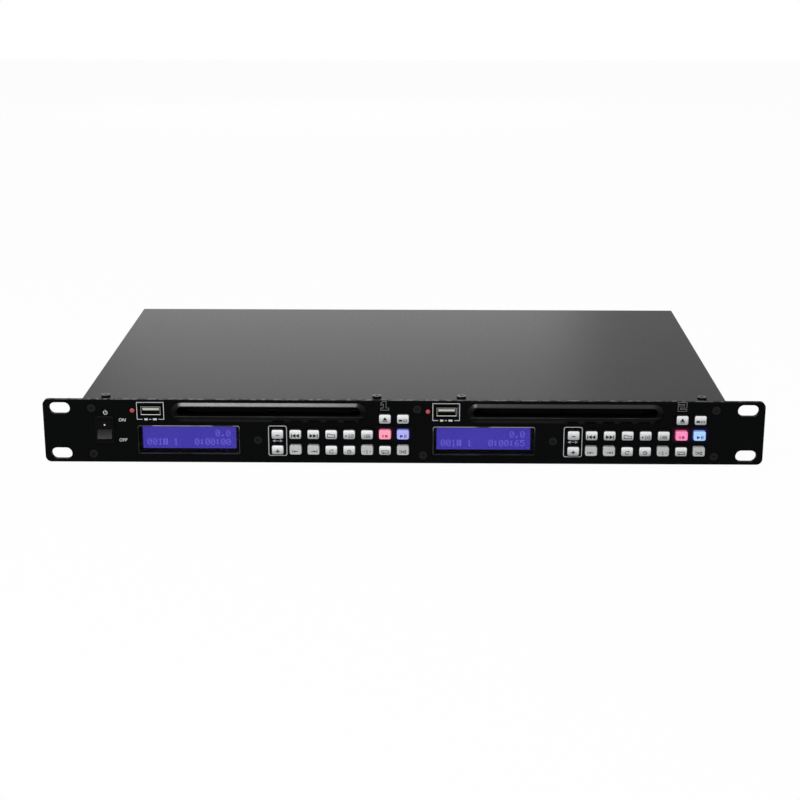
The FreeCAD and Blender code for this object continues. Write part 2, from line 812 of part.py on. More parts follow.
def pan_screw(x, y, z, outward):
    """A pan-head screw whose head seats at the given point and stands out along outward."""
    inward = -outward
    head = cylinder("pan_head", x, y, z, "pan_head_radius", "pan_head_height", outward)
    shank = cylinder("pan_shank", x, y, z, "screw_radius", "screw_length - pan_head_height", inward)
    blank = fuse("pan_blank", [head, shank])
    if outward == ALONG_Z:
        bars = cross_recess("pan", x, y, f"{z} + pan_head_height", ALONG_Z)
    elif outward == ALONG_Y:
        bars = cross_recess("pan", x, f"{y} + pan_head_height - cross_depth", z, ALONG_Y)
    elif outward == ALONG_X:
        bars = cross_recess("pan", f"{x} + pan_head_height - cross_depth", y, z, ALONG_X)
    else:
        bars = cross_recess("pan", f"{x} - pan_head_height", y, z, ALONG_X)
    return cut("pan_screw", blank, bars)


def make_cover_screws():
    screws = [
        pan_screw(x, "cover_screw_back", "cover_top", ALONG_Z)
        for x in ("-cover_screw_side", "cover_screw_left", "cover_screw_right", "cover_screw_side")
    ]
    screws += [
        pan_screw(x, "case_depth", "cover_top - cover_back_lip / 2", ALONG_Y)
        for x in ("-back_screw_x", "0", "back_screw_x")
    ]
    for x, outward in (("-case_width / 2", -ALONG_X), ("case_width / 2", ALONG_X)):
        for y in ("side_screw_front", "side_screw_front + side_screw_pitch"):
            screws.append(pan_screw(x, y, "0", outward))
    return node(group("cover_screws", screws), "cover_screws")


# ---- pieces of the front ----


def make_slot_bezels():
    bezels = []
    for deck in DECKS:
        x = plus("slot_column", deck_shift(deck))
        body = new_body(f"slot_bezel_{deck}")
        foot = sketch_on(body, "XZ", PANEL_FRONT)
        add_obround(foot, x, "bezel_row", "bezel_width", "bezel_height")
        extrude(body, "Pad", foot, "bezel_foot")
        ring = sketch_on(body, "XZ", f"{PANEL_FRONT} - bezel_foot")
        add_obround(ring, x, "bezel_row", "bezel_width", "bezel_height")
        slope = extrude(body, "Pad", ring, "bezel_proud - bezel_foot", taper="-bezel_slope")
        doc.recompute()
        round_edges(body, slope, [end_face(slope, -ALONG_Y)], "bezel_round")
        spigot = sketch_on(body, "XZ", PANEL_FRONT)
        add_obround(spigot, x, "slot_row", SPIGOT_WIDTH, SPIGOT_HEIGHT)
        extrude(body, "Pad", spigot, "bezel_depth", flip=True)
        mouth = sketch_on(body, "XZ", f"{PANEL_FRONT} - bezel_proud")
        add_obround(mouth, x, "slot_row", "slot_width", "slot_height")
        extrude(body, "Pocket", mouth, "bezel_proud + bezel_depth")
        bezels.append(body)
    return node(group("slot_bezels", bezels), "slot_bezels")


def make_display_windows():
    windows = []
    for deck in DECKS:
        x = plus("window_column", deck_shift(deck))
        body = new_body(f"window_{deck}")
        front = sketch_on(body, "XZ", f"{PANEL_FRONT} - window_proud")
        add_rounded(
            front,
            x,
            "window_row",
            "window_width - 2 * window_gap",
            "window_height - 2 * window_gap",
            "window_corner - window_gap",
        )
        pane = extrude(body, "Pad", front, "panel_thick + window_proud", flip=True)
        doc.recompute()
        round_edges(body, pane, [end_face(pane, -ALONG_Y)], "window_edge_round", "Chamfer")
        flange = sketch_on(body, "XZ", "0")
        sizes = ("window_width + window_flange", "window_height + window_flange")
        add_rectangle(flange, x, "window_row", *sizes)
        extrude(body, "Pad", flange, "tray_sheet", flip=True)
        windows.append(body)
    return node(group("display_windows", windows), "display_windows")


def make_display_modules():
    """The frame and backlight of each display, and the liquid-crystal cell in its face."""
    parts = []
    for deck in DECKS:
        x = plus("window_column", deck_shift(deck))
        frame = box(
            "display_frame",
            f"{x} - module_width / 2",
            "tray_sheet + module_gap",
            "window_row - module_height / 2",
            "module_width",
            "board_front - tray_sheet - module_gap",
            "module_height",
        )
        corner = (f"{x} - glass_width / 2", "tray_sheet + module_gap", "window_row - glass_height / 2")
        sizes = ("glass_width", "glass_depth", "glass_height")
        recess = box("display_recess", *corner, *sizes)
        cell = box("display_cell", *corner, *sizes)
        parts += [cut("display_body", frame, [recess]), cell]
    return node(group("display_modules", parts), "display_modules")


def make_usb_sockets():
    """A pressed shell with flared lips round each mouth, and the contact tongue on its insulator."""
    parts = []
    for deck in DECKS:
        x = plus("usb_column", deck_shift(deck))
        shell = new_body(f"usb_shell_{deck}")
        outline = sketch_on(shell, "XZ", PANEL_FRONT)
        add_rectangle(outline, x, "usb_row", "usb_width", "usb_height")
        extrude(shell, "Pad", outline, USB_DEPTH, flip=True)
        flare = sketch_on(shell, "XZ", PANEL_FRONT)
        add_rectangle(flare, x, "usb_row", "usb_width", "usb_height")
        extrude(shell, "Pad", flare, "usb_lip", flip=True, taper="-usb_slope")
        doc.recompute()
        cavity = sketch_on(shell, "XZ", PANEL_FRONT)
        add_rectangle(cavity, x, "usb_row", "usb_width - 2 * usb_wall", "usb_height - 2 * usb_wall")
        extrude(shell, "Pocket", cavity, f"{USB_DEPTH} - usb_wall")
        tongue = box(
            "usb_tongue",
            f"{x} - usb_tongue_width / 2",
            f"{PANEL_FRONT} + usb_tongue_inset",
            "usb_row + usb_height / 2 - usb_wall - usb_tongue_drop - usb_tongue_thick",
            "usb_tongue_width",
            f"{USB_DEPTH} - usb_wall - usb_tongue_inset",
            "usb_tongue_thick",
        )
        heel = box(
            "usb_heel",
            f"{x} - usb_width / 2 + usb_wall",
            "board_front - 3 * usb_wall - usb_heel",
            "usb_row - usb_height / 2 + usb_wall",
            "usb_width - 2 * usb_wall",
            "usb_heel + 2 * usb_wall",
            "usb_height - 2 * usb_wall",
        )
        parts += [shell, fuse("usb_contact_block", [tongue, heel])]
    return node(group("usb_sockets", parts), "usb_sockets")


def make_status_lamps():
    lamps = []
    for deck in DECKS:
        x = plus("lamp_column", deck_shift(deck))
        length = "board_front + panel_thick"
        barrel = cylinder("lamp_barrel", x, PANEL_FRONT, "lamp_row", "lamp_radius", length, ALONG_Y)
        dome = doc.addObject("Part::Sphere", "lamp_dome")
        drive(dome, "Radius", "lamp_radius")
        move_to(dome, x, f"{PANEL_FRONT} + lamp_radius / 2", "lamp_row")
        lamps.append(fuse("lamp", [barrel, dome]))
    return node(group("status_lamps", lamps), "status_lamps")


def make_switch_housing():
    body = new_body("switch_housing")
    rim = sketch_on(body, "XZ", f"{PANEL_FRONT} - switch_proud")
    add_rounded(rim, "switch_column", "switch_row", "switch_width", "switch_height", "switch_corner")
    plate = extrude(body, "Pad", rim, "switch_proud", flip=True)
    doc.recompute()
    round_edges(body, plate, [end_face(plate, -ALONG_Y)], "window_edge_round")
    barrel = sketch_on(body, "XZ", PANEL_FRONT)
    add_rectangle(barrel, "switch_column", "switch_row", "switch_body_width", "switch_body_height")
    extrude(body, "Pad", barrel, "switch_body_depth", flip=True)
    well = sketch_on(body, "XZ", f"{PANEL_FRONT} - switch_proud")
    add_rectangle(well, "switch_column", "switch_row", "switch_mouth_width", "switch_mouth_height")
    extrude(body, "Pocket", well, "switch_proud + switch_well")
    bore = sketch_on(body, "YZ", "switch_column")
    add_circle(bore, f"{PANEL_FRONT} + rocker_pivot", "switch_row", "rocker_pin_radius + running_gap")
    extrude(body, "Pocket", bore, "switch_width", symmetric=True)
    return node(body, "switch_housing")


def make_power_rocker():
    """A cap with two faces that meet in a valley, on a pin. At rest its top is pushed in."""
    body = new_body("power_rocker")
    side = sketch_on(body, "YZ", "0")
    half = "(switch_mouth_height / 2 - rocker_end_gap)"
    face = "-(rocker_pivot + rocker_face)"
    valley = f"{face} + rocker_valley"
    root = "rocker_pivot"
    waist = "0.45 * " + half
    add_polygon(
        side,
        [
            (face, half),
            (valley, "0"),
            (face, f"-{half}"),
            ("-0.2 * rocker_face", f"-{half}"),
            (root, f"-{waist}"),
            (root, waist),
            ("-0.2 * rocker_face", half),
        ],
    )
    extrude(body, "Pad", side, "switch_mouth_width - 2 * rocker_gap", symmetric=True)
    pin_end = sketch_on(body, "YZ", "0")
    add_circle(pin_end, "0", "0", "rocker_pin_radius")
    extrude(body, "Pad", pin_end, "switch_body_width - 2 * rocker_pin_end_gap", symmetric=True)
    move_to(body, "switch_column", f"{PANEL_FRONT} + rocker_pivot", "switch_row", Rotation(ALONG_X, 1))
    drive(body, "Placement.Rotation.Angle", "-rocker_tilt")
    return node(body, "power_rocker")


def make_key(deck, name, column, row):
    """A key cap with a flange behind the panel and a stem that reaches for its switch."""
    x = f"key_column + {column} * key_pitch_x + {deck_shift(deck)}"
    z = f"key_row + {row} * key_pitch_z"
    body = new_body(f"key_{deck}_{name}")
    face = sketch_on(body, "XZ", f"{PANEL_FRONT} - key_proud")
    add_rounded(face, x, z, "key_width", "key_height", "key_corner")
    cap = extrude(body, "Pad", face, "panel_thick + key_proud", flip=True)
    doc.recompute()
    round_edges(body, cap, [end_face(cap, -ALONG_Y)], "key_edge_round")
    flange = sketch_on(body, "XZ", "0")
    add_rectangle(flange, x, z, "key_width + 2 * key_flange", "key_height + 2 * key_flange")
    extrude(body, "Pad", flange, "key_flange_thick", flip=True)
    stem = sketch_on(body, "XZ", "key_flange_thick")
    add_circle(stem, x, z, "key_stem_radius")
    extrude(body, "Pad", stem, "board_front - tact_height - key_travel_gap - key_flange_thick", flip=True)
    return node(body, f"key_{deck}_{name}")


def key_places():
    """Deck, name, column and row of every key."""
    for deck in DECKS:
        for row, names in enumerate(KEY_ROWS):
            for column, name in enumerate(names):
                yield deck, name, column, row
        for step, name in enumerate(TOP_KEYS):
            yield deck, name, TOP_KEY_COLUMN + step, TOP_KEY_ROW


# ---- inside the case ----


def make_control_boards():
    """One board per deck behind the keys and display, with a push switch behind every key."""
    parts = []
    for deck in DECKS:
        shift = deck_shift(deck)
        body = new_body(f"control_board_{deck}")
        outline = sketch_on(body, "XZ", "board_front")
        left = f"lamp_column - board_lamp_margin + {shift}"
        notch_left = f"slot_column - mech_width / 2 - board_mech_gap + {shift}"
        notch_right = f"slot_column + mech_width / 2 + board_mech_gap + {shift}"
        right = f"key_column + 7 * key_pitch_x + key_width / 2 + board_key_margin + {shift}"
        low = "window_row - module_height / 2 - board_window_margin"
        notch = "window_row + module_height / 2 + board_window_margin"
        high = "usb_row + usb_height / 2 + board_usb_margin"
        add_polygon(
            outline,
            [
                (left, low),
                (right, low),
                (right, high),
                (notch_right, high),
                (notch_right, notch),
                (notch_left, notch),
                (notch_left, high),
                (left, high),
            ],
        )
        extrude(body, "Pad", outline, "board_thick", flip=True)
        parts.append(body)
    for deck, name, column, row in key_places():
        x = f"key_column + {column} * key_pitch_x + {deck_shift(deck)}"
        z = f"key_row + {row} * key_pitch_z"
        parts.append(
            box(
                "push_switch",
                f"{x} - tact_size / 2",
                "board_front - tact_height",
                f"{z} - tact_size / 2",
                "tact_size",
                "tact_height",
                "tact_size",
            )
        )
    return node(group("control_boards", parts), "control_boards")


def make_disc_mechanisms():
    """The frame of each loading mechanism, its two pickup rods and its spindle motor."""
    parts = []
    for deck in DECKS:
        x = plus("slot_column", deck_shift(deck))
        left, right = f"{x} - mech_width / 2", f"{x} + mech_width / 2 - mech_sheet"
        height = "slot_row + mech_roof_gap - mech_floor"
        plate = ("mech_width", "mech_depth", "mech_sheet")
        floor = box("mech_floor", left, "mech_front", "mech_floor", *plate)
        roof_low = "slot_row + mech_roof_gap - mech_sheet"
        roof = box("mech_roof", left, "mech_front", roof_low, *plate)
        wall = ("mech_sheet", "mech_depth", height)
        walls = [box("mech_wall", edge, "mech_front", "mech_floor", *wall) for edge in (left, right)]
        back_face = "mech_front + mech_depth - mech_sheet"
        back = box("mech_back", left, back_face, "mech_floor", "mech_width", "mech_sheet", height)
        posts = [
            cylinder(
                "mech_post",
                f"{x} + {across} * (mech_width / 2 - mech_post_inset)",
                f"mech_front + {along}",
                TRAY_FLOOR,
                "mech_post_radius",
                f"mech_floor - ({TRAY_FLOOR})",
            )
            for across in ("-1", "1")
            for along in ("mech_post_inset", "mech_depth - mech_post_inset")
        ]
        blocks = [
            box(
                "rod_block",
                f"{x} - rod_spread - rod_block_margin",
                along,
                "mech_floor",
                "2 * rod_spread + 2 * rod_block_margin",
                "rod_block_thick",
                f"{DISC_LOW} - rod_drop + 2 * rod_radius - mech_floor",
            )
            for along in (ROD_START, f"{ROD_START} + rod_length - rod_block_thick")
        ]
        bores = [
            cylinder(
                "roller_bore",
                f"{x} - mech_width / 2 - 1",
                "roller_depth",
                f"{DISC_LOW} - disc_gap - roller_radius",
                "roller_shaft_radius + running_gap",
                "mech_width + 2",
                ALONG_X,
            )
        ]
        bores += [
            cylinder(
                "rod_bore",
                f"{x} + {across} * rod_spread",
                ROD_START,
                f"{DISC_LOW} - rod_drop",
                "rod_radius",
                "rod_length",
                ALONG_Y,
            )
            for across in ("-1", "1")
        ]
        sheets = fuse("mech_sheets", [floor, roof, *walls, back, *posts, *blocks])
        parts.append(cut("mech_frame", sheets, bores))
        parts += [
            cylinder(
                "pickup_rod",
                f"{x} + {across} * rod_spread",
                ROD_START,
                f"{DISC_LOW} - rod_drop",
                "rod_radius",
                "rod_length",
                ALONG_Y,
            )
            for across in ("-1", "1")
        ]
        pedestal = box(
            "motor_pedestal",
            f"{x} - motor_radius",
            "disc_centre - motor_radius",
            "mech_floor + mech_sheet",
            "2 * motor_radius",
            "2 * motor_radius",
            f"{MOTOR_TOP} - motor_height - mech_floor - mech_sheet",
        )
        motor_low = f"{MOTOR_TOP} - motor_height"
        motor = cylinder("motor_can", x, "disc_centre", motor_low, "motor_radius", "motor_height")
        bore_low = f"{MOTOR_TOP} - spindle_length"
        bore = ("spindle_radius + running_gap", "spindle_length + 1")
        spindle_bore = cylinder("motor_bore", x, "disc_centre", bore_low, *bore)
        parts.append(cut("spindle_motor", fuse("motor_blank", [pedestal, motor]), [spindle_bore]))
    return node(group("disc_mechanisms", parts), "disc_mechanisms")


def make_feed_roller(deck):
    """A steel shaft with two rubber rollers that taper towards the middle, under the disc's path."""
    x = plus("slot_column", deck_shift(deck))
    z = f"{DISC_LOW} - disc_gap - roller_radius"
    axis = ("roller_depth", z)
    rod = ("roller_shaft_radius", "mech_width")
    shaft = cylinder("roller_shaft", f"{x} - mech_width / 2", *axis, *rod, ALONG_X)
    outer, inner = "roller_radius", "roller_radius - roller_taper"
    far = f"{x} - roller_length - roller_middle_gap"
    left = cone("roller_left", far, *axis, outer, inner, "roller_length", ALONG_X)
    near = f"{x} + roller_middle_gap"
    right = cone("roller_right", near, *axis, inner, outer, "roller_length", ALONG_X)
    return node(fuse(f"feed_roller_{deck}", [shaft, left, right]), f"feed_roller_{deck}")


def make_turntable(deck):
    """The disc's seat and centring hub on the motor's spindle."""
    x = plus("slot_column", deck_shift(deck))
    seat = f"{DISC_LOW} - disc_gap - hub_height"
    low = f"{seat} - turntable_thick"
    plate = cylinder("turntable_plate", x, "disc_centre", low, "turntable_radius", "turntable_thick")
    cone_size = ("hub_radius", "hub_radius - hub_taper", "hub_height")
    hub = cone("turntable_hub", x, "disc_centre", seat, *cone_size)
    tip = f"{low} - spindle_length"
    spindle = cylinder("spindle", x, "disc_centre", tip, "spindle_radius", "spindle_length")
    return node(fuse(f"turntable_{deck}", [plate, hub, spindle]), f"turntable_{deck}")


def make_pickup(deck):
    """The laser sled, which rides on its two rods and carries the lens."""
    x = plus("slot_column", deck_shift(deck))
    rod_z = f"{DISC_LOW} - rod_drop"
    start = "disc_centre + pickup_start"
    low = f"{rod_z} - pickup_under_rod"
    sizes = ("pickup_width", "pickup_length", "pickup_height")
    sled = box("sled", f"{x} - pickup_width / 2", start, low, *sizes)
    foot = f"{low} + pickup_height"
    lens = cylinder("lens", x, f"{start} + lens_inset", foot, "lens_radius", "lens_height")
    bores = [
        cylinder(
            "sled_bore",
            f"{x} + {across} * rod_spread",
            f"{start} - 1",
            rod_z,
            "rod_radius + running_gap",
            "pickup_length + 2",
            ALONG_Y,
        )
        for across in ("-1", "1")
    ]
    return node(cut(f"pickup_{deck}", fuse("sled_blank", [sled, lens]), bores), f"pickup_{deck}")


def standing_board(name, column, width, depth):
    """A board on four standoffs near the back wall, with the place of its top face."""
    y = f"{BACK_WALL} - tray_sheet - board_back_gap - {depth}"
    z = f"{TRAY_FLOOR} + board_standoff"
    plate = box(name, f"{column} - {width} / 2", y, z, width, depth, "board_thick")
    posts = [
        cylinder(
            "standoff",
            f"{column} + {across} * ({width} / 2 - standoff_inset)",
            f"{y} + {along}",
            TRAY_FLOOR,
            "standoff_radius",
            "board_standoff",
        )
        for across in ("-1", "1")
        for along in ("standoff_inset", f"{depth} - standoff_inset")
    ]
    return [plate, *posts], y, f"{z} + board_thick"


def make_power_supply():
    parts, y, top = standing_board("supply_board", "supply_column", "supply_width", "supply_depth")
    x = "supply_column - supply_width / 2"
    corner = (f"{x} + transformer_x", f"{y} + transformer_y", top)
    sizes = ("transformer_width", "transformer_depth", "transformer_height")
    parts.append(box("transformer", *corner, *sizes))
    centre = (f"{x} + bulk_capacitor_x", f"{y} + bulk_capacitor_y", top)
    sizes = ("bulk_capacitor_radius", "bulk_capacitor_height")
    parts.append(cylinder("bulk_capacitor", *centre, *sizes))
    corner = (f"{x} + heat_sink_x", f"{y} + heat_sink_y", top)
    sizes = ("heat_sink_thick", "heat_sink_length", "heat_sink_height")
    parts.append(box("heat_sink", *corner, *sizes))
    corner = (f"{x} + line_filter_x", f"{y} + line_filter_y", top)
    sizes = ("line_filter_width", "line_filter_depth", "line_filter_height")
    parts.append(box("line_filter", *corner, *sizes))
    end = (f"{x} + fuse_x", f"{y} + fuse_y", f"{top} + fuse_radius")
    parts.append(cylinder("fuse", *end, "fuse_radius", "fuse_length", ALONG_X))
    return node(group("power_supply", parts), "power_supply")


def make_main_board():
    """The board that serves both decks, with the same circuit twice."""
    parts, y, top = standing_board("main_plate", "main_column", "main_width", "main_depth")
    for place in range(len(DECKS)):
        x = f"main_column - main_width / 2 + circuit_first + {place} * circuit_pitch"
        sizes = ("processor_size", "processor_size", "processor_height")
        parts.append(box("processor", x, f"{y} + processor_y", top, *sizes))
        corner = (f"{x} + memory_x", f"{y} + memory_y", top)
        parts.append(box("memory", *corner, "memory_width", "memory_depth", "memory_height"))
        centre = (f"{x} + capacitor_x", f"{y} + capacitor_y", top)
        parts.append(cylinder("capacitor", *centre, "capacitor_radius", "capacitor_height"))
    return node(group("main_board", parts), "main_board")


def make_mains_inlet():
    body = new_body("mains_inlet_shell")
    shell = sketch_on(body, "XZ", f"{BACK_WALL} + inlet_proud")
    add_rounded(shell, "inlet_column", "inlet_row", "inlet_width", "inlet_height", "inlet_corner")
    extrude(body, "Pad", shell, "inlet_depth + inlet_wall + inlet_proud")
    rim = sketch_on(body, "XZ", f"{BACK_WALL} + inlet_proud")
    sizes = ("inlet_width + 2 * inlet_rim", "inlet_height + 2 * inlet_rim", "inlet_rim_corner")
    add_rounded(rim, "inlet_column", "inlet_row", *sizes)
    extrude(body, "Pad", rim, "inlet_proud")
    cavity = sketch_on(body, "XZ", f"{BACK_WALL} + inlet_proud")
    sizes = ("inlet_width - 2 * inlet_wall", "inlet_height - 2 * inlet_wall", "inlet_cavity_corner")
    add_rounded(cavity, "inlet_column", "inlet_row", *sizes)
    extrude(body, "Pocket", cavity, "inlet_depth + inlet_proud", flip=True)
    blades = []
    for across, rise in (("-1", "-1"), ("0", "1"), ("1", "-1")):
        blades.append(
            box(
                "blade",
                f"inlet_column + {across} * inlet_pin_pitch / 2 - inlet_pin_thick / 2",
                f"{BACK_WALL} - inlet_depth",
                f"inlet_row + {rise} * inlet_pin_rise - inlet_pin_height / 2",
                "inlet_pin_thick",
                "inlet_depth - inlet_pin_inset",
                "inlet_pin_height",
            )
        )
    return node(group("mains_inlet", [body, *blades]), "mains_inlet")


def make_audio_jacks():
    """For each deck a left and a right socket and a digital one, on one moulded block."""
    parts = []
    for deck in DECKS:
        shift = f"{deck_shift(deck)} / 2"
        first = plus("jack_column", shift)
        block = box(
            "jack_block",
            f"{first} - jack_pitch / 2",
            f"{BACK_WALL} - tray_sheet - jack_block_depth",
            "jack_row - jack_pitch / 2",
            "3 * jack_pitch",
            "jack_block_depth",
            "jack_pitch",
        )
        barrels = []
        bores = []
        for place in range(3):
            x = f"{first} + {place} * jack_pitch"
            foot = f"{BACK_WALL} - tray_sheet - jack_root"
            length = "jack_length + tray_sheet + jack_root"
            axis = (x, foot, "jack_row")
            barrels.append(cylinder("jack_barrel", *axis, "jack_radius", length, ALONG_Y))
            bores.append(cylinder("jack_bore", *axis, "jack_bore_radius", f"{length} + 1", ALONG_Y))
        parts.append(cut("jack_row_body", fuse("jack_blank", [block, *barrels]), bores))
    return node(group("audio_jacks", parts), "audio_jacks")


def check_and_write():
    """Stops on any failed object or bad shape, then writes one STEP file per node."""
    doc.recompute()
    failed = [item.Label for item in doc.Objects if "Invalid" in item.State or "Error" in item.State]
    if failed:
        raise SystemExit(f"failed objects: {failed}")
    for item in nodes:
        shape = item.Shape
        if shape.isNull() or not shape.isValid() or not shape.Solids:
            raise SystemExit(f"{item.Label} has no valid solid")
    os.makedirs("parts", exist_ok=True)
    for item in nodes:
        item.Shape.exportStep(os.path.join("parts", f"{item.Label}.step"))
        print(f"{item.Label}: {len(item.Shape.Solids)} solids, {item.Shape.Volume:.1f} mm3")


make_front_panel()
make_chassis_tray()
make_top_cover()
make_panel_screws()
make_cover_screws()
make_slot_bezels()
make_display_windows()
make_display_modules()
make_usb_sockets()
make_status_lamps()
make_switch_housing()
make_power_rocker()
make_control_boards()
make_disc_mechanisms()
for one_deck in DECKS:
    make_feed_roller(one_deck)
    make_turntable(one_deck)
    make_pickup(one_deck)
make_power_supply()
make_main_board()
make_mains_inlet()
make_audio_jacks()
for one_key in key_places():
    make_key(*one_key)
check_and_write()
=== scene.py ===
"""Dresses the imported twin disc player: finishes, printed marks, displays and a studio."""

import json
import math

import bmesh
import bpy
from mathutils import Matrix, Vector


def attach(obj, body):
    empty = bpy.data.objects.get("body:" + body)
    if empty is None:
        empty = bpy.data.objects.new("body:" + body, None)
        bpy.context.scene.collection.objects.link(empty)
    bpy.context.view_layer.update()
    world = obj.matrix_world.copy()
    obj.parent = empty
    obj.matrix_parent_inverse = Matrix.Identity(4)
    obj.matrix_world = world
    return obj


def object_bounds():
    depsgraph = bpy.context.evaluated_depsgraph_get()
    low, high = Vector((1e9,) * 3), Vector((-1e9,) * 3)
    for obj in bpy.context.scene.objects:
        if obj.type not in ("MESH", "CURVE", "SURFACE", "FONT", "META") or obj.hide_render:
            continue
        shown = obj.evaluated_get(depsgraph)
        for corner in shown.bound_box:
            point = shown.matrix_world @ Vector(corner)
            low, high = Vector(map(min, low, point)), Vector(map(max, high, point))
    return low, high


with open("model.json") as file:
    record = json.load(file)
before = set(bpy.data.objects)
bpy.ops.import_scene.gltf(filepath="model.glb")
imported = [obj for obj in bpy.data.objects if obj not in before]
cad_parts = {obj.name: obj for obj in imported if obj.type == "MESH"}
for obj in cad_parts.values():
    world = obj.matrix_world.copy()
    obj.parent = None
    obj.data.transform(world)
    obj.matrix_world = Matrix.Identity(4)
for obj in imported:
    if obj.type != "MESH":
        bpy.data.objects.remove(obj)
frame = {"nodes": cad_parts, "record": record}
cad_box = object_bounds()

MM = 0.001
CASE = "case"

# Places and sizes of the solids in millimetres, as the part's source has them.
DECK_SHIFT = {"a": 0.0, "b": 198.0}
PANEL_TOP = 22.0
PANEL_FRONT = -3.0
KEY_WIDTH = 8.0
KEY_HEIGHT = 6.5
KEY_FRONT = -6.0
KEY_COLUMN = -84.0
KEY_ROW = -12.0
KEY_PITCH_X = 12.0
KEY_PITCH_Z = 11.0
SLOT_COLUMN = -89.7
SLOT_LOW = 11.05
BEZEL_FRONT = -4.8
DISPLAY_COLUMN = -143.95
USB_COLUMN = -168.9
USB_ROW = 14.3
SWITCH_COLUMN = -200.0
ABOVE_BOARD = (-14.35, 20.0)
LENS_FOOT = 8.05
INLET_COLUMN = -180.0
JACK_COLUMN = 30.0
JACK_ROW = -3.0
JACK_PITCH = 14.0
JACK_FOOT = 256.9
JACK_END = 265.8

# The keys of a deck by row from below and by column from the left.
KEY_ROWS = (
    ("pitch_up", "loop_in", "loop_out", "reloop", "time", "single", "repeat", "shuffle"),
    ("pitch_down", "previous", "next", "folder", "plus_ten", "program", "cue", "play"),
    (None, None, None, None, None, None, "eject", "mode"),
)
CUE_COLUMN = 6
PLAY_COLUMN = 7

INK_THICK = 0.03
INK_LIFT = 0.01

CAPACITOR_BLUE = (0.02, 0.025, 0.09)


# ---- camera, floor and lights ----


def make_camera():
    """Placed as for the photograph, by a fit to the panel's edges, its rack slots and the cover."""
    focal_px = 1657.6
    image_px = 800
    sensor_mm = 36.0
    nearest = 0.01
    place = Vector((13.7, -1060.4, 339.6)) * MM
    yaw, pitch = math.radians(-0.85), math.radians(16.69)
    level = math.cos(pitch)
    ahead = Vector((math.sin(yaw) * level, math.cos(yaw) * level, -math.sin(pitch)))
    right = Vector((math.cos(yaw), -math.sin(yaw), 0.0))
    up = right.cross(ahead)
    data = bpy.data.cameras.new("camera")
    data.sensor_width = sensor_mm
    data.lens = focal_px / image_px * sensor_mm
    data.clip_start = nearest
    camera = bpy.data.objects.new("camera", data)
    turn = Matrix((right, up, -ahead)).transposed().to_4x4()
    camera.matrix_world = Matrix.Translation(place) @ turn
    bpy.context.scene.collection.objects.link(camera)
    bpy.context.scene.camera = camera
    bpy.context.scene.view_settings.view_transform = "Standard"


def make_lamps():
    """Area lamps: name, place, target, width and height in metres, and power in watts."""
    for name, place, target, width, height, power in (
        ("key", (-0.42, -0.85, 1.22), (-0.05, 0.0, 0.0), 0.7, 0.35, 13.0),
        ("front", (-0.60, -1.9, 0.62), (0.0, 0.0, 0.0), 0.6, 0.4, 6.0),
        ("overhead", (-0.3, 0.3, 1.6), (-0.05, 0.1, 0.0), 1.2, 0.9, 3.5),
        ("behind", (-0.16, 2.1, 0.29), (-0.05, 0.15, 0.0), 0.95, 0.36, 2.7),
    ):
        data = bpy.data.lights.new(name, "AREA")
        data.shape = "RECTANGLE"
        data.size = width
        data.size_y = height
        data.energy = power
        lamp = bpy.data.objects.new(name, data)
        lamp.location = place
        aim = Vector(target) - Vector(place)
        lamp.rotation_euler = aim.to_track_quat("-Z", "Y").to_euler()
        bpy.context.scene.collection.objects.link(lamp)


def backdrop_share(tree):
    """1 for a ray that sees the backdrop straight, in a gloss or through glass, and 0 for light."""
    path = tree.nodes.new("ShaderNodeLightPath")
    share = path.outputs["Is Camera Ray"]
    for kind in ("Is Glossy Ray", "Is Transmission Ray"):
        either = tree.nodes.new("ShaderNodeMath")
        either.operation = "MAXIMUM"
        tree.links.new(share, either.inputs[0])
        tree.links.new(path.outputs[kind], either.inputs[1])
        share = either.outputs[0]
    return share


def make_world():
    """A white backdrop that lights the object only softly."""
    light_strength = 0.22
    backdrop_strength = 1.0
    world = bpy.data.worlds.new("studio")
    bpy.context.scene.world = world
    world.use_nodes = True
    nodes, links = world.node_tree.nodes, world.node_tree.links
    nodes.clear()
    mix = nodes.new("ShaderNodeMixShader")
    out = nodes.new("ShaderNodeOutputWorld")
    for place, strength in enumerate((light_strength, backdrop_strength), start=1):
        white = nodes.new("ShaderNodeBackground")
        white.inputs["Color"].default_value = (1.0, 1.0, 1.0, 1.0)
        white.inputs["Strength"].default_value = strength
        links.new(white.outputs[0], mix.inputs[place])
    links.new(backdrop_share(world.node_tree), mix.inputs[0])
    links.new(mix.outputs[0], out.inputs["Surface"])


def make_floor():
    """A pale floor that looks almost as white as the backdrop and keeps the object's shadow."""
    half = 3.0
    clearance = 0.0003
    tone = (0.9, 0.9, 0.9, 1.0)
    whiteness = 0.97
    height = cad_box[0][2] - clearance
    corners = ((-half, -half), (half, -half), (half, half), (-half, half))
    mesh = bpy.data.meshes.new("floor")
    mesh.from_pydata([(x, y, height) for x, y in corners], [], [(0, 1, 2, 3)])
    floor = bpy.data.objects.new("floor", mesh)
    bpy.context.scene.collection.objects.link(floor)
    material = bpy.data.materials.new("floor_white")
    material.use_nodes = True
    nodes, links = material.node_tree.nodes, material.node_tree.links
    nodes.clear()
    diffuse = nodes.new("ShaderNodeBsdfDiffuse")
    diffuse.inputs["Color"].default_value = tone
    glow = nodes.new("ShaderNodeEmission")
    lit = nodes.new("ShaderNodeMixShader")
    share = nodes.new("ShaderNodeMath")
    share.operation = "MULTIPLY"
    share.inputs[1].default_value = whiteness
    out = nodes.new("ShaderNodeOutputMaterial")
    links.new(backdrop_share(material.node_tree), share.inputs[0])
    links.new(share.outputs[0], lit.inputs[0])
    links.new(diffuse.outputs[0], lit.inputs[1])
    links.new(glow.outputs[0], lit.inputs[2])
    links.new(lit.outputs[0], out.inputs["Surface"])
    mesh.materials.append(material)


# ---- finishes ----


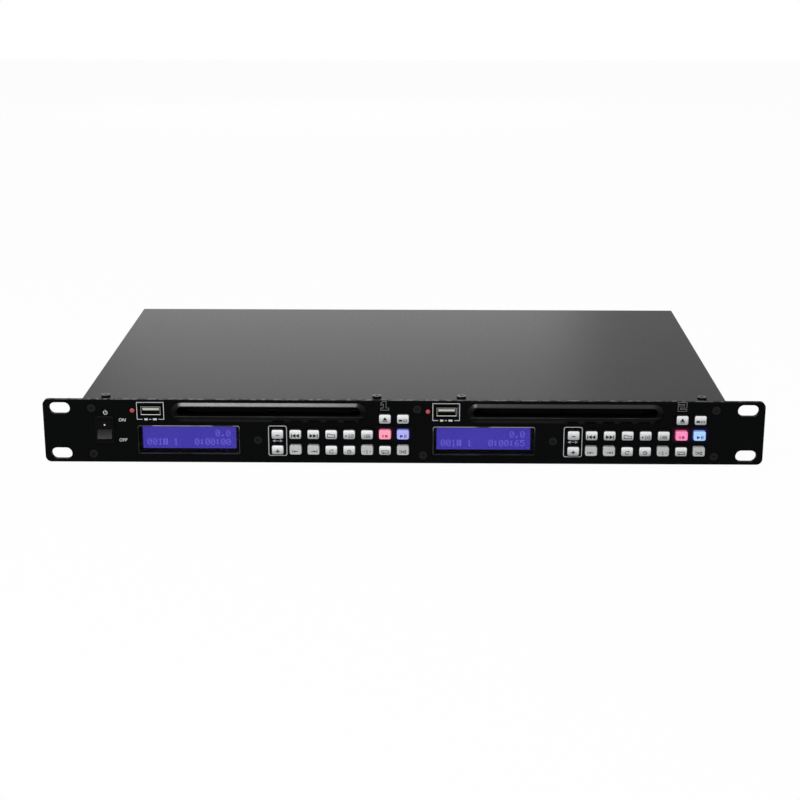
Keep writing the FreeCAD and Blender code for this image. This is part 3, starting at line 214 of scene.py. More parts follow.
class Shader:
    """A Principled material with helpers that add its texture nodes."""

    def __init__(self, name, **sockets):
        self.material = bpy.data.materials.new(name)
        self.material.use_nodes = True
        self.tree = self.material.node_tree
        self.surface = self.tree.nodes["Principled BSDF"]
        for socket, number in sockets.items():
            self.surface.inputs[socket.replace("_", " ")].default_value = number
        self.place = self.tree.nodes.new("ShaderNodeTexCoord").outputs["Object"]
        self.split = None
        self.tone = None

    def put(self, item, socket):
        """Gives a socket a number, a colour or another node's output."""
        if isinstance(item, (int, float)):
            socket.default_value = item
        elif isinstance(item, tuple):
            socket.default_value = (*item, 1.0)
        else:
            self.tree.links.new(item, socket)

    def set(self, socket, item):
        self.put(item, self.surface.inputs[socket])

    def axis(self, letter):
        """The position along x, y or z, in metres."""
        if self.split is None:
            self.split = self.tree.nodes.new("ShaderNodeSeparateXYZ")
            self.tree.links.new(self.place, self.split.inputs[0])
        return self.split.outputs[letter.upper()]

    def math(self, operation, first, second=0.0):
        node = self.tree.nodes.new("ShaderNodeMath")
        node.operation = operation
        for socket, item in zip(node.inputs, (first, second)):
            self.put(item, socket)
        return node.outputs[0]

    def product(self, first, *others):
        for other in others:
            first = self.math("MULTIPLY", first, other)
        return first

    def above(self, letter, limit):
        """1 where the position along one axis is above a value in millimetres."""
        return self.math("GREATER_THAN", self.axis(letter), limit * MM)

    def below(self, letter, limit):
        """1 where the position along one axis is below a value in millimetres."""
        return self.math("LESS_THAN", self.axis(letter), limit * MM)

    def within(self, letter, low, high):
        """1 where the position along one axis lies between two values in millimetres."""
        return self.product(self.above(letter, low), self.below(letter, high))

    def inside(self, **spans):
        """1 inside a box given by spans such as x=(low, high), in millimetres."""
        return self.product(*(self.within(letter, *span) for letter, span in spans.items()))

    def beyond(self, letter, middle, half):
        """How far, in metres, a position lies outside a span that is given in millimetres."""
        away = self.math("ABSOLUTE", self.math("SUBTRACT", self.axis(letter), middle * MM))
        return self.math("MAXIMUM", self.math("SUBTRACT", away, half * MM), 0.0)

    def squares(self, first, second):
        """The sum of two squares."""
        powers = (self.math("POWER", item, 2.0) for item in (first, second))
        return self.math("ADD", *powers)

    def span(self, source, low, high, start=0.0, end=1.0):
        """source, which runs from start to end, made to run from low to high."""
        node = self.tree.nodes.new("ShaderNodeMapRange")
        node.inputs["From Min"].default_value = start
        node.inputs["From Max"].default_value = end
        node.inputs["To Min"].default_value = low
        node.inputs["To Max"].default_value = high
        self.tree.links.new(source, node.inputs["Value"])
        return node.outputs["Result"]

    def noise(self, scale, detail=3.0, stretch=None):
        texture = self.tree.nodes.new("ShaderNodeTexNoise")
        texture.inputs["Scale"].default_value = scale
        texture.inputs["Detail"].default_value = detail
        source = self.place
        if stretch is not None:
            mapping = self.tree.nodes.new("ShaderNodeMapping")
            mapping.inputs["Scale"].default_value = stretch
            self.tree.links.new(source, mapping.inputs["Vector"])
            source = mapping.outputs[0]
        self.tree.links.new(source, texture.inputs["Vector"])
        return texture.outputs["Fac"]

    def mix(self, share, first, second):
        """A mix of two colours, each a tuple or another mix."""
        node = self.tree.nodes.new("ShaderNodeMix")
        node.data_type = "RGBA"
        colors = [s for s in node.inputs if s.type == "RGBA"]
        for socket, item in zip((node.inputs["Factor"], *colors), (share, first, second)):
            self.put(item, socket)
        return next(s for s in node.outputs if s.type == "RGBA")

    def mottled(self, scale, dark, light, detail=3.0, stretch=None):
        """A colour that drifts between two."""
        return self.mix(self.noise(scale, detail, stretch), dark, light)

    def edges(self, radius):
        """About 1 along edges sharper than the radius in millimetres, and 0 on flats."""
        bevel = self.tree.nodes.new("ShaderNodeBevel")
        bevel.inputs["Radius"].default_value = radius * MM
        geometry = self.tree.nodes.new("ShaderNodeNewGeometry")
        dot = self.tree.nodes.new("ShaderNodeVectorMath")
        dot.operation = "DOT_PRODUCT"
        self.tree.links.new(bevel.outputs[0], dot.inputs[0])
        self.tree.links.new(geometry.outputs["Normal"], dot.inputs[1])
        return self.span(dot.outputs["Value"], 1.0, 0.0, 0.75, 0.99)

    def facing(self, letter):
        """The size of the surface normal's part along one axis."""
        geometry = self.tree.nodes.new("ShaderNodeNewGeometry")
        split = self.tree.nodes.new("ShaderNodeSeparateXYZ")
        self.tree.links.new(geometry.outputs["Normal"], split.inputs[0])
        return self.math("ABSOLUTE", split.outputs[letter.upper()])

    def color(self, tone):
        self.tone = tone
        self.set("Base Color", tone)

    def overlay(self, share, tone):
        """Lays a colour over the surface's own where share is 1."""
        self.color(self.mix(share, self.tone, tone))

    def rough(self, scale, low, high):
        """A roughness that drifts between two values."""
        self.set("Roughness", self.span(self.noise(scale), low, high))

    def specular(self, item):
        self.set("Specular IOR Level", item)

    def glow(self, tone, strength):
        self.set("Emission Color", tone)
        self.set("Emission Strength", strength)

    def bump(self, source, strength, depth):
        """Relief of a texture, its depth in millimetres."""
        node = self.tree.nodes.new("ShaderNodeBump")
        node.inputs["Strength"].default_value = strength
        node.inputs["Distance"].default_value = depth * MM
        self.tree.links.new(source, node.inputs["Height"])
        self.tree.links.new(node.outputs[0], self.surface.inputs["Normal"])


def painted(name, dark, light, rough, grain, depth, wear=None, **sockets):
    """Paint or moulded plastic: drifting colour, grain in relief and, if asked, paler edges."""
    shader = Shader(name, **sockets)
    shader.color(shader.mottled(35.0, dark, light))
    if wear is not None:
        patches = shader.span(shader.noise(160.0), 0.0, 0.8, 0.45, 0.7)
        shader.overlay(shader.product(shader.edges(0.35), patches), wear)
    shader.rough(420.0, rough - 0.05, rough + 0.06)
    shader.bump(shader.noise(grain, 2.0), 0.5, depth)
    return shader


def streaked(shader, dark, light):
    """Gives rolled or cast metal its colour and fine streaks along x, which it returns."""
    streaks = shader.noise(90.0, 4.0, (1.0, 30.0, 30.0))
    shader.color(shader.mix(streaks, dark, light))
    shader.bump(streaks, 0.15, 0.01)
    return streaks


def brushed(name, dark, light, rough):
    shader = Shader(name, Metallic=1.0)
    streaks = streaked(shader, dark, light)
    shader.set("Roughness", shader.span(streaks, rough - 0.07, rough + 0.09))
    return shader.material


def panel_paint():
    """Satin black, with a broken pale line painted along the top edge as its highlight, and a glow
    painted round the lit keys for the light that leaks from them.
    """
    paint = painted(
        "panel_black",
        dark=(0.0009, 0.0011, 0.0013),
        light=(0.0016, 0.0018, 0.0021),
        rough=0.40,
        grain=1600.0,
        depth=0.012,
        Specular_IOR_Level=0.03,
    )
    # Painted highlight: a broken pale line along the panel's top edge.
    patches = paint.span(paint.noise(260.0, 4.0), 0.0, 1.0, 0.46, 0.58)
    paint.overlay(paint.product(paint.above("z", PANEL_TOP - 0.05), patches), (0.13, 0.13, 0.125))

    reach = 2.8
    halo = (0.0, 0.0, 0.0)
    strengths = {"a": 0.022, "b": 0.06}
    tints = {CUE_COLUMN: (1.0, 0.05, 0.22), PLAY_COLUMN: (0.12, 0.12, 1.0)}
    for deck, strength in strengths.items():
        for column, tint in tints.items():
            x = KEY_COLUMN + column * KEY_PITCH_X + DECK_SHIFT[deck]
            aside = paint.beyond("x", x, KEY_WIDTH / 2)
            over = paint.beyond("z", KEY_ROW + KEY_PITCH_Z, KEY_HEIGHT / 2)
            away = paint.math("SQRT", paint.squares(aside, over))
            near = paint.math("POWER", paint.span(away, 1.0, 0.0, 0.0, reach * MM), 2.0)
            halo = paint.mix(near, halo, tuple(strength * part for part in tint))
    paint.glow(halo, 1.0)
    return paint.material


def cover_paint():
    return painted(
        "cover_grey",
        dark=(0.010, 0.011, 0.0105),
        light=(0.015, 0.016, 0.0155),
        rough=0.325,
        grain=1300.0,
        depth=0.012,
        wear=(0.10, 0.10, 0.098),
        Specular_IOR_Level=0.04,
    ).material


def black_screw():
    """Blackened steel, glossier on top of a head than down its sides."""
    shader = painted(
        "black_screw",
        dark=(0.002, 0.002, 0.0022),
        light=(0.006, 0.006, 0.007),
        rough=0.38,
        grain=900.0,
        depth=0.02,
        wear=(0.04, 0.04, 0.04),
    )
    shader.specular(shader.span(shader.facing("z"), 0.12, 0.4, 0.7, 0.95))
    return shader.material


def bezel_plastic():
    """Polished along the straight upper lip, with a pale broken line painted along the lower lip as
    its highlight.
    """
    straight_half, fade = 57.5, 4.0
    gloss_low, gloss_high = 14.0, 18.5
    lip_y = (BEZEL_FRONT - 0.2, BEZEL_FRONT + 0.25)
    lip_z = (SLOT_LOW - 0.45, SLOT_LOW + 0.05)
    shader = painted(
        "bezel_black",
        dark=(0.002, 0.002, 0.0022),
        light=(0.004, 0.004, 0.0045),
        rough=0.24,
        grain=2500.0,
        depth=0.003,
    )
    gloss = shader.span(shader.axis("z"), 0.06, 0.37, gloss_low * MM, gloss_high * MM)
    columns = (SLOT_COLUMN + shift for shift in DECK_SHIFT.values())
    ends = shader.math("MINIMUM", *(shader.beyond("x", x, straight_half) for x in columns))
    dulled = shader.span(ends, 1.0, 0.35, 0.0, fade * MM)
    shader.specular(shader.product(gloss, dulled, shader.below("y", PANEL_FRONT + 0.2)))
    # Painted highlight: a pale broken line along the inner edge of the lower lip.
    patches = shader.span(shader.noise(40.0), 0.3, 1.0, 0.35, 0.6)
    lip = shader.inside(y=lip_y, z=lip_z)
    shader.overlay(shader.product(lip, patches), (0.045, 0.046, 0.048))
    return shader.material


def switch_plastic():
    """Dull on the rim, with some gloss on the rocker's cap that grows towards its lower end."""
    cap_x = (SWITCH_COLUMN - 5.05, SWITCH_COLUMN + 5.05)
    cap_y, cap_z = (-6.2, -4.05), (-7.0, 1.0)
    rim_gloss = 0.05
    shader = painted(
        "switch_black",
        dark=(0.0012, 0.0012, 0.0014),
        light=(0.002, 0.002, 0.0022),
        rough=0.32,
        grain=1200.0,
        depth=0.01,
    )
    cap = shader.inside(x=cap_x, y=cap_y, z=cap_z)
    gloss = shader.span(shader.axis("z"), 0.16, 0.03, -5 * MM, 0.5 * MM)
    shader.specular(shader.math("ADD", shader.product(cap, gloss), rim_gloss))
    return shader.material


def turntable_plastic():
    return painted(
        "turntable_plastic",
        dark=(0.02, 0.02, 0.022),
        light=(0.04, 0.04, 0.045),
        rough=0.35,
        grain=800.0,
        depth=0.02,
    ).material


def red_lamp():
    shader = painted(
        "lamp_red",
        dark=(0.34, 0.03, 0.035),
        light=(0.44, 0.06, 0.065),
        rough=0.3,
        grain=600.0,
        depth=0.01,
    )
    shader.glow((1.0, 0.06, 0.06), 0.06)
    return shader.material


def silver_key():
    """A silver-painted face, painted pale towards its top edge and grey towards its bottom as
    shading from above, on a smoked body.
    """
    shader = Shader("silver_key", Coat_Weight=0.5, Coat_Roughness=0.08)
    from_row = shader.math("SUBTRACT", shader.axis("z"), (KEY_ROW - KEY_PITCH_Z / 2) * MM)
    in_cell = shader.math("MODULO", from_row, KEY_PITCH_Z * MM)
    edge = (KEY_PITCH_Z - KEY_HEIGHT) / 2
    height = shader.span(in_cell, 0.0, 1.0, edge * MM, (edge + KEY_HEIGHT) * MM)
    # Painted shading: the face is grey at its bottom and near white at its top, where the light
    # from above falls.
    rise = shader.span(height, 0.0, 1.0, 0.15, 0.85)
    silver = shader.mix(rise, (0.33, 0.34, 0.35), (0.97, 0.98, 0.99))
    flakes = shader.span(shader.noise(900.0), 0.0, 0.2)
    silver = shader.mix(flakes, silver, (0.60, 0.61, 0.63))
    shader.color(shader.mix(shader.below("y", KEY_FRONT + 0.15), (0.02, 0.021, 0.023), silver))
    shader.rough(700.0, 0.24, 0.36)
    shader.bump(shader.noise(1500.0, 2.0), 0.2, 0.01)
    return shader.material


def moulded_key(name, face, side, glow=None, strength=0.0):
    """A translucent moulding, lit or not, whose sides differ a little from its face."""
    shader = Shader(name, Coat_Weight=0.4, Coat_Roughness=0.1)
    clouds = shader.span(shader.noise(600.0), 0.0, 0.15)
    front = shader.below("y", KEY_FRONT + 0.5)
    shader.color(shader.mix(front, side, shader.mix(clouds, face, side)))
    shader.rough(500.0, 0.27, 0.38)
    shader.bump(shader.noise(1200.0, 2.0), 0.15, 0.01)
    if glow is not None:
        shader.glow(glow, strength)
    return shader.material


def display_module():
    """A black frame whose cell is lit blue-violet inside its viewing area."""
    half_width = 31.5
    cell_y, cell_z = (1.0, 1.45), (-13.3, 1.9)
    brightness = 0.97
    shader = Shader("display_cell", Specular_IOR_Level=0.06)
    cell = 0.0
    for shift in DECK_SHIFT.values():
        x = DISPLAY_COLUMN + shift
        area = shader.inside(x=(x - half_width, x + half_width), y=cell_y, z=cell_z)
        cell = shader.math("ADD", area, cell)
    shader.color(shader.mix(cell, (0.004, 0.004, 0.006), (0.02, 0.012, 0.12)))
    light = shader.mottled(30.0, (0.050, 0.035, 0.37), (0.074, 0.060, 0.45), 2.0)
    shader.glow(light, shader.product(cell, brightness))
    shader.rough(300.0, 0.3, 0.42)
    shader.bump(shader.noise(900.0, 2.0), 0.1, 0.01)
    return shader.material


def window_pane():
    """Clear acrylic with a gloss on its face, and edges painted pale as highlights, brightest at
    the top and dull towards the bottom.
    """
    shader = Shader("window_smoke", Specular_IOR_Level=0.15)
    edge = shader.math("LESS_THAN", shader.facing("y"), 0.9)
    body = shader.mottled(40.0, (0.004, 0.004, 0.005), (0.007, 0.007, 0.009))
    # Painted highlights: pale patches on the pane's edges, brightest above its middle.
    patches = shader.span(shader.noise(45.0, 2.0), 0.15, 1.0, 0.42, 0.5)
    upper = shader.span(shader.axis("z"), 0.12, 1.0, 0.0, 3 * MM)
    edge_highlight = shader.mix(shader.product(patches, upper), (0.02, 0.02, 0.022), (0.34, 0.34, 0.35))
    shader.color(shader.mix(edge, body, edge_highlight))
    shader.rough(250.0, 0.05, 0.1)
    nodes, links = shader.tree.nodes, shader.tree.links
    clear = nodes.new("ShaderNodeBsdfTransparent")
    clear.inputs["Color"].default_value = (0.93, 0.93, 0.95, 1.0)
    both = nodes.new("ShaderNodeMixShader")
    links.new(shader.span(edge, 0.06, 0.9), both.inputs[0])
    links.new(clear.outputs[0], both.inputs[1])
    links.new(shader.surface.outputs[0], both.inputs[2])
    output = next(n for n in nodes if n.type == "OUTPUT_MATERIAL")
    links.new(both.outputs[0], output.inputs["Surface"])
    return shader.material


def usb_socket():
    """Nickel plate with painted shade inside and a painted highlight on its bright lower lip, and a
    cream tongue in each mouth.
    """
    tongue_half = 5.56
    tongue_y, tongue_z = (-2.05, 9.0), (USB_ROW + 0.3, USB_ROW + 1.67)
    lip_top = USB_ROW - 2.6
    dim_start, dim_end = PANEL_FRONT + 0.5, PANEL_FRONT + 1.2
    shader = Shader("socket_shell")
    tongue = 0.0
    for shift in DECK_SHIFT.values():
        x = USB_COLUMN + shift
        area = shader.inside(x=(x - tongue_half, x + tongue_half), y=tongue_y, z=tongue_z)
        tongue = shader.math("ADD", area, tongue)
    # Painted shade: the plate darkens deeper into the mouth.
    shade_inside = shader.span(shader.axis("y"), 0.0, 1.0, dim_start * MM, dim_end * MM)
    shader.color(shader.mottled(300.0, (0.24, 0.24, 0.23), (0.36, 0.35, 0.33)))
    # Painted highlight: the lower lip is painted bright, as the light from above catches it.
    shader.overlay(shader.below("z", lip_top), (0.92, 0.91, 0.87))
    shader.overlay(shade_inside, (0.06, 0.06, 0.055))
    shader.overlay(tongue, (0.62, 0.61, 0.56))
    shader.set("Metallic", shader.span(tongue, 1.0, 0.0))
    shader.rough(400.0, 0.22, 0.36)
    shader.bump(shader.noise(700.0), 0.2, 0.02)
    return shader.material


def audio_jacks():
    """Black blocks, nickel barrels outside the back wall and a coloured insulator in each end."""
    insulator_radius = 3.3
    tints = ((0.80, 0.80, 0.78), (0.60, 0.02, 0.02), (0.85, 0.25, 0.02))
    shader = Shader("jack_black")
    barrel = shader.above("y", JACK_FOOT)
    end = shader.above("y", JACK_END - 0.2)
    shader.color(shader.mottled(200.0, (0.018, 0.018, 0.02), (0.035, 0.035, 0.04)))
    shader.overlay(barrel, shader.mottled(350.0, (0.36, 0.35, 0.32), (0.50, 0.48, 0.44)))
    rise = shader.math("SUBTRACT", shader.axis("z"), JACK_ROW * MM)
    insulators = 0.0
    for shift in DECK_SHIFT.values():
        for place, tint in enumerate(tints):
            x = JACK_COLUMN + JACK_PITCH * place + shift / 2
            aside = shader.math("SUBTRACT", shader.axis("x"), x * MM)
            away = shader.squares(aside, rise)
            near = shader.math("LESS_THAN", away, (insulator_radius * MM) ** 2)
            insulator = shader.product(near, end)
            shader.overlay(insulator, tint)
            insulators = shader.math("ADD", insulator, insulators)
    shader.set("Metallic", shader.math("SUBTRACT", barrel, insulators))
    shader.rough(400.0, 0.25, 0.45)
    shader.bump(shader.noise(500.0), 0.2, 0.03)
    return shader.material


def mains_inlet():
    """A black moulding with nickel blades."""
    blade_pitch, blade_half = 7.0, 1.05
    blade_y, blade_z = (236.0, 256.0), (-8.1, 0.1)
    shader = Shader("inlet_black")
    blades = 0.0
    for place in (-1, 0, 1):
        x = INLET_COLUMN + place * blade_pitch
        area = shader.inside(x=(x - blade_half, x + blade_half), y=blade_y, z=blade_z)
        blades = shader.math("ADD", area, blades)
    shader.color(shader.mottled(150.0, (0.014, 0.014, 0.015), (0.03, 0.03, 0.032)))
    shader.overlay(blades, (0.75, 0.73, 0.68))
    shader.set("Metallic", blades)
    shader.rough(500.0, 0.4, 0.6)
    shader.bump(shader.noise(1200.0, 2.0), 0.4, 0.03)
    return shader.material


def circuit_board(name, dark, light, *parts):
    """A board with paler traces, and components that are each given by a colour and a box."""
    shader = Shader(name)
    pattern = shader.noise(420.0, 1.0, (1.0, 6.0, 1.0))
    shader.color(shader.mix(shader.span(pattern, 0.0, 0.5, 0.5, 0.56), dark, light))
    for tone, spans in parts:
        shader.overlay(shader.inside(**spans), tone)
    shader.rough(300.0, 0.35, 0.5)
    shader.bump(pattern, 0.2, 0.04)
    return shader.material


def signal_boards():
    """The control boards with their push switches, and the main board's chips and capacitors."""
    black = (0.02, 0.02, 0.022)
    push_switches = {"y": (5.0, 9.0)}
    chips = {"y": (100.0, 260.0), "z": ABOVE_BOARD}
    parts = [(black, push_switches), (black, chips)]
    for x in (73.0, 163.0):
        capacitor = {"x": (x - 4.1, x + 4.1), "y": (195.7, 203.9), "z": ABOVE_BOARD}
        parts.append((CAPACITOR_BLUE, capacitor))
    return circuit_board("board_green", (0.01, 0.07, 0.03), (0.03, 0.15, 0.07), *parts)


def supply_board():
    """A tan board whose parts are black, apart from those with a colour of their own."""
    black, glass = (0.03, 0.03, 0.033), (0.50, 0.52, 0.50)
    tape, aluminium = (0.50, 0.36, 0.05), (0.42, 0.42, 0.43)
    fuse = {"x": (-188.1, -165.9), "y": (192.7, 198.9), "z": ABOVE_BOARD}
    capacitor = {"x": (-158.1, -141.9), "y": (199.7, 215.9), "z": ABOVE_BOARD}
    transformer = {"x": (-132.1, -101.9), "y": (201.0, 228.6), "z": ABOVE_BOARD}
    heat_sink = {"x": (-96.1, -92.9), "z": ABOVE_BOARD}
    return circuit_board(
        "supply_board",
        (0.20, 0.13, 0.05),
        (0.30, 0.21, 0.09),
        (black, {"z": ABOVE_BOARD}),
        (glass, fuse),
        (CAPACITOR_BLUE, capacitor),
        (tape, transformer),
        (aluminium, heat_sink),
    )


def feed_roller():
    """Rubber sleeves on a blackened steel shaft, which shows between them and at its ends."""
    sleeve_middle, sleeve_half = 28.0, 26.1
    shader = Shader("roller_rubber", Specular_IOR_Level=0.1)
    shaft = 1.0
    for shift in DECK_SHIFT.values():
        for side in (-1, 1):
            x = SLOT_COLUMN + shift + side * sleeve_middle
            sleeve = shader.within("x", x - sleeve_half, x + sleeve_half)
            shaft = shader.product(shader.span(sleeve, 1.0, 0.0), shaft)
    shader.color(shader.mottled(35.0, (0.003, 0.003, 0.003), (0.006, 0.006, 0.006)))
    shader.overlay(shaft, (0.012, 0.012, 0.013))
    shader.set("Metallic", shaft)
    smooth = shader.math("ADD", shader.noise(420.0), shaft)
    shader.set("Roughness", shader.span(smooth, 0.7, 0.3, 0.5, 1.5))
    shader.bump(shader.noise(700.0, 2.0), 0.5, 0.03)
    return shader.material


def pickup_sled():
    """A die-cast sled with a dark glassy lens on top."""
    shader = Shader("pickup_metal")
    streaked(shader, (0.35, 0.36, 0.37), (0.55, 0.56, 0.57))
    lens = shader.above("z", LENS_FOOT)
    shader.overlay(lens, (0.02, 0.05, 0.10))
    shader.set("Metallic", shader.span(lens, 1.0, 0.0))
    shader.set("Roughness", shader.span(lens, 0.42, 0.08))
    return shader.material


def make_finishes():
    """The finish of each material slot of the record."""
    return {
        "panel_black": panel_paint(),
        "cover_grey": cover_paint(),
        "black_screw": black_screw(),
        "bezel_black": bezel_plastic(),
        "switch_black": switch_plastic(),
        "turntable_plastic": turntable_plastic(),
        "lamp_red": red_lamp(),
        "tray_steel": brushed("tray_steel", (0.38, 0.39, 0.40), (0.56, 0.57, 0.58), 0.42),
        "mechanism_steel": brushed(
            "mechanism_steel", (0.10, 0.10, 0.105), (0.20, 0.20, 0.21), 0.45
        ),
        "roller_rubber": feed_roller(),
        "pickup_metal": pickup_sled(),
        "silver_key": silver_key(),
        "milky_key": moulded_key("milky_key", (0.51, 0.52, 0.51), (0.46, 0.47, 0.46)),
        "cue_key_a": moulded_key(
            "cue_key_a", (0.95, 0.34, 0.48), (0.90, 0.20, 0.34), (1.0, 0.30, 0.45), 0.14
        ),
        "play_key_a": moulded_key(
            "play_key_a", (0.42, 0.42, 0.90), (0.28, 0.26, 0.85), (0.40, 0.40, 1.0), 0.14
        ),
        "cue_key_b": moulded_key(
            "cue_key_b", (0.92, 0.26, 0.52), (0.90, 0.14, 0.36), (1.0, 0.22, 0.46), 0.2
        ),
        "play_key_b": moulded_key(
            "play_key_b", (0.42, 0.68, 0.95), (0.24, 0.42, 0.95), (0.30, 0.50, 1.0), 0.2
        ),
        "display_cell": display_module(),
        "window_smoke": window_pane(),
        "socket_shell": usb_socket(),
        "jack_black": audio_jacks(),
        "inlet_black": mains_inlet(),
        "board_green": signal_boards(),
        "supply_board": supply_board(),
    }


def dress_nodes(finishes):
    """Puts each node's finish in its object's material slots."""
    slots = {entry["node"]: entry["material_slot"] for entry in frame["record"]["subparts"]}
    for name, node in frame["nodes"].items():
        for slot in node.material_slots:
            slot.material = finishes[slots[name]]


# ---- printed marks ----


class Ink:
    """Flat shapes in millimetres that become one thin mesh on a plane facing -Y."""

    def __init__(self):
        self.shapes = []

    def polygon(self, points):
        self.shapes.append(list(points))
        return self

    def rect(self, x, z, width, height):
        w, h = width / 2, height / 2
        return self.polygon([(x - w, z - h), (x + w, z - h), (x + w, z + h), (x - w, z + h)])

    def stroke(self, points, width, closed=False):
        """A line of even width through the points, mitred at its corners."""
        sharpest = 0.3
        count = len(points)
        sides = []
        for i, point in enumerate(points):
            here = Vector(point)
            before = Vector(points[i - 1]) if closed or i else None
            after = Vector(points[(i + 1) % count]) if closed or i < count - 1 else None
            first = (here - before if before is not None else after - here).normalized()
            second = (after - here).normalized() if after is not None else first
            normal = Vector((-(first + second).y, (first + second).x)).normalized()
            reach = width / 2 / max(sharpest, normal.dot(Vector((-first.y, first.x))))
            sides.append((here + normal * reach, here - normal * reach))
        for i in range(count if closed else count - 1):
            a, b = sides[i], sides[(i + 1) % count]
            self.polygon([a[1], b[1], b[0], a[0]])
        return self

    def arc(self, x, z, radius, width, start, end, steps=20):
        turns = [math.radians(start + (end - start) * i / steps) for i in range(steps + 1)]
        points = [(x + radius * math.cos(t), z + radius * math.sin(t)) for t in turns]
        return self.stroke(points, width)

    def disc(self, x, z, radius, steps=20):
        turns = [2 * math.pi * i / steps for i in range(steps)]
        return self.polygon([(x + radius * math.cos(t), z + radius * math.sin(t)) for t in turns])

    def shifted(self, x, z):
        moved = Ink()
        moved.shapes = [[(px + x, pz + z) for px, pz in shape] for shape in self.shapes]
        return moved

    def add(self, other):
        self.shapes += other.shapes
        return self

    def build(self, name, y, material, body, slot):
        """The mesh, its back face at y and its front face towards the viewer."""
        mesh = bpy.data.meshes.new(name)
        work = bmesh.new()
        back, front = (y - INK_LIFT) * MM, (y - INK_LIFT - INK_THICK) * MM
        for shape in self.shapes:
            rear = [work.verts.new((px * MM, back, pz * MM)) for px, pz in shape]
            fore = [work.verts.new((px * MM, front, pz * MM)) for px, pz in shape]
            work.faces.new(fore)
            work.faces.new(rear[::-1])
            for i in range(len(shape)):
                j = (i + 1) % len(shape)
                work.faces.new((fore[j], fore[i], rear[i], rear[j]))
        bmesh.ops.recalc_face_normals(work, faces=work.faces)
        work.to_mesh(mesh)
        work.free()
        mesh.materials.append(material)
        item = bpy.data.objects.new(name, mesh)
        bpy.context.scene.collection.objects.link(item)
        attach(item, body)


def rounded_outline(left, right, low, high, radius, steps=6):
    points = []
    for cx, cz, start in (
        (right - radius, low + radius, -90),
        (right - radius, high - radius, 0),
        (left + radius, high - radius, 90),
        (left + radius, low + radius, 180),
    ):
        for i in range(steps + 1):
            turn = math.radians(start + 90 * i / steps)
            points.append((cx + radius * math.cos(turn), cz + radius * math.sin(turn)))
    return points


DOT_ROWS = 7
DOTS = {
    "0": ("01110", "10001", "10011", "10101", "11001", "10001", "01110"),
    "1": ("00100", "01100", "00100", "00100", "00100", "00100", "01110"),
    "5": ("11111", "10000", "11110", "00001", "00001", "10001", "01110"),
    "6": ("00110", "01000", "10000", "11110", "10001", "10001", "01110"),
    ":": ("00000", "01100", "01100", "00000", "01100", "01100", "00000"),
    ".": ("00000", "00000", "00000", "00000", "00000", "01100", "01100"),
    "|": ("11011",) * DOT_ROWS,
    " ": (),
}


def dot_text(text, x, z, cell, dot, gap=0.0):
    """Characters of dots, from the left edge x and at the middle line z, a cell apart."""
    ink = Ink()
    pitch_x, pitch_z = dot[0] + gap, dot[1] + gap
    for place, letter in enumerate(text):
        for row, line in enumerate(DOTS[letter]):
            rise = (DOT_ROWS // 2 - row) * pitch_z
            for column, mark in enumerate(line):
                if mark == "1":
                    ink.rect(x + place * cell + column * pitch_x, z + rise, *dot)
    return ink


def arrow(tip, size, tall, z):
    """A triangle from its tip to a base that is size to the right or, if negative, to the left."""
    return [(tip, z), (tip + size, z - tall / 2), (tip + size, z + tall / 2)]


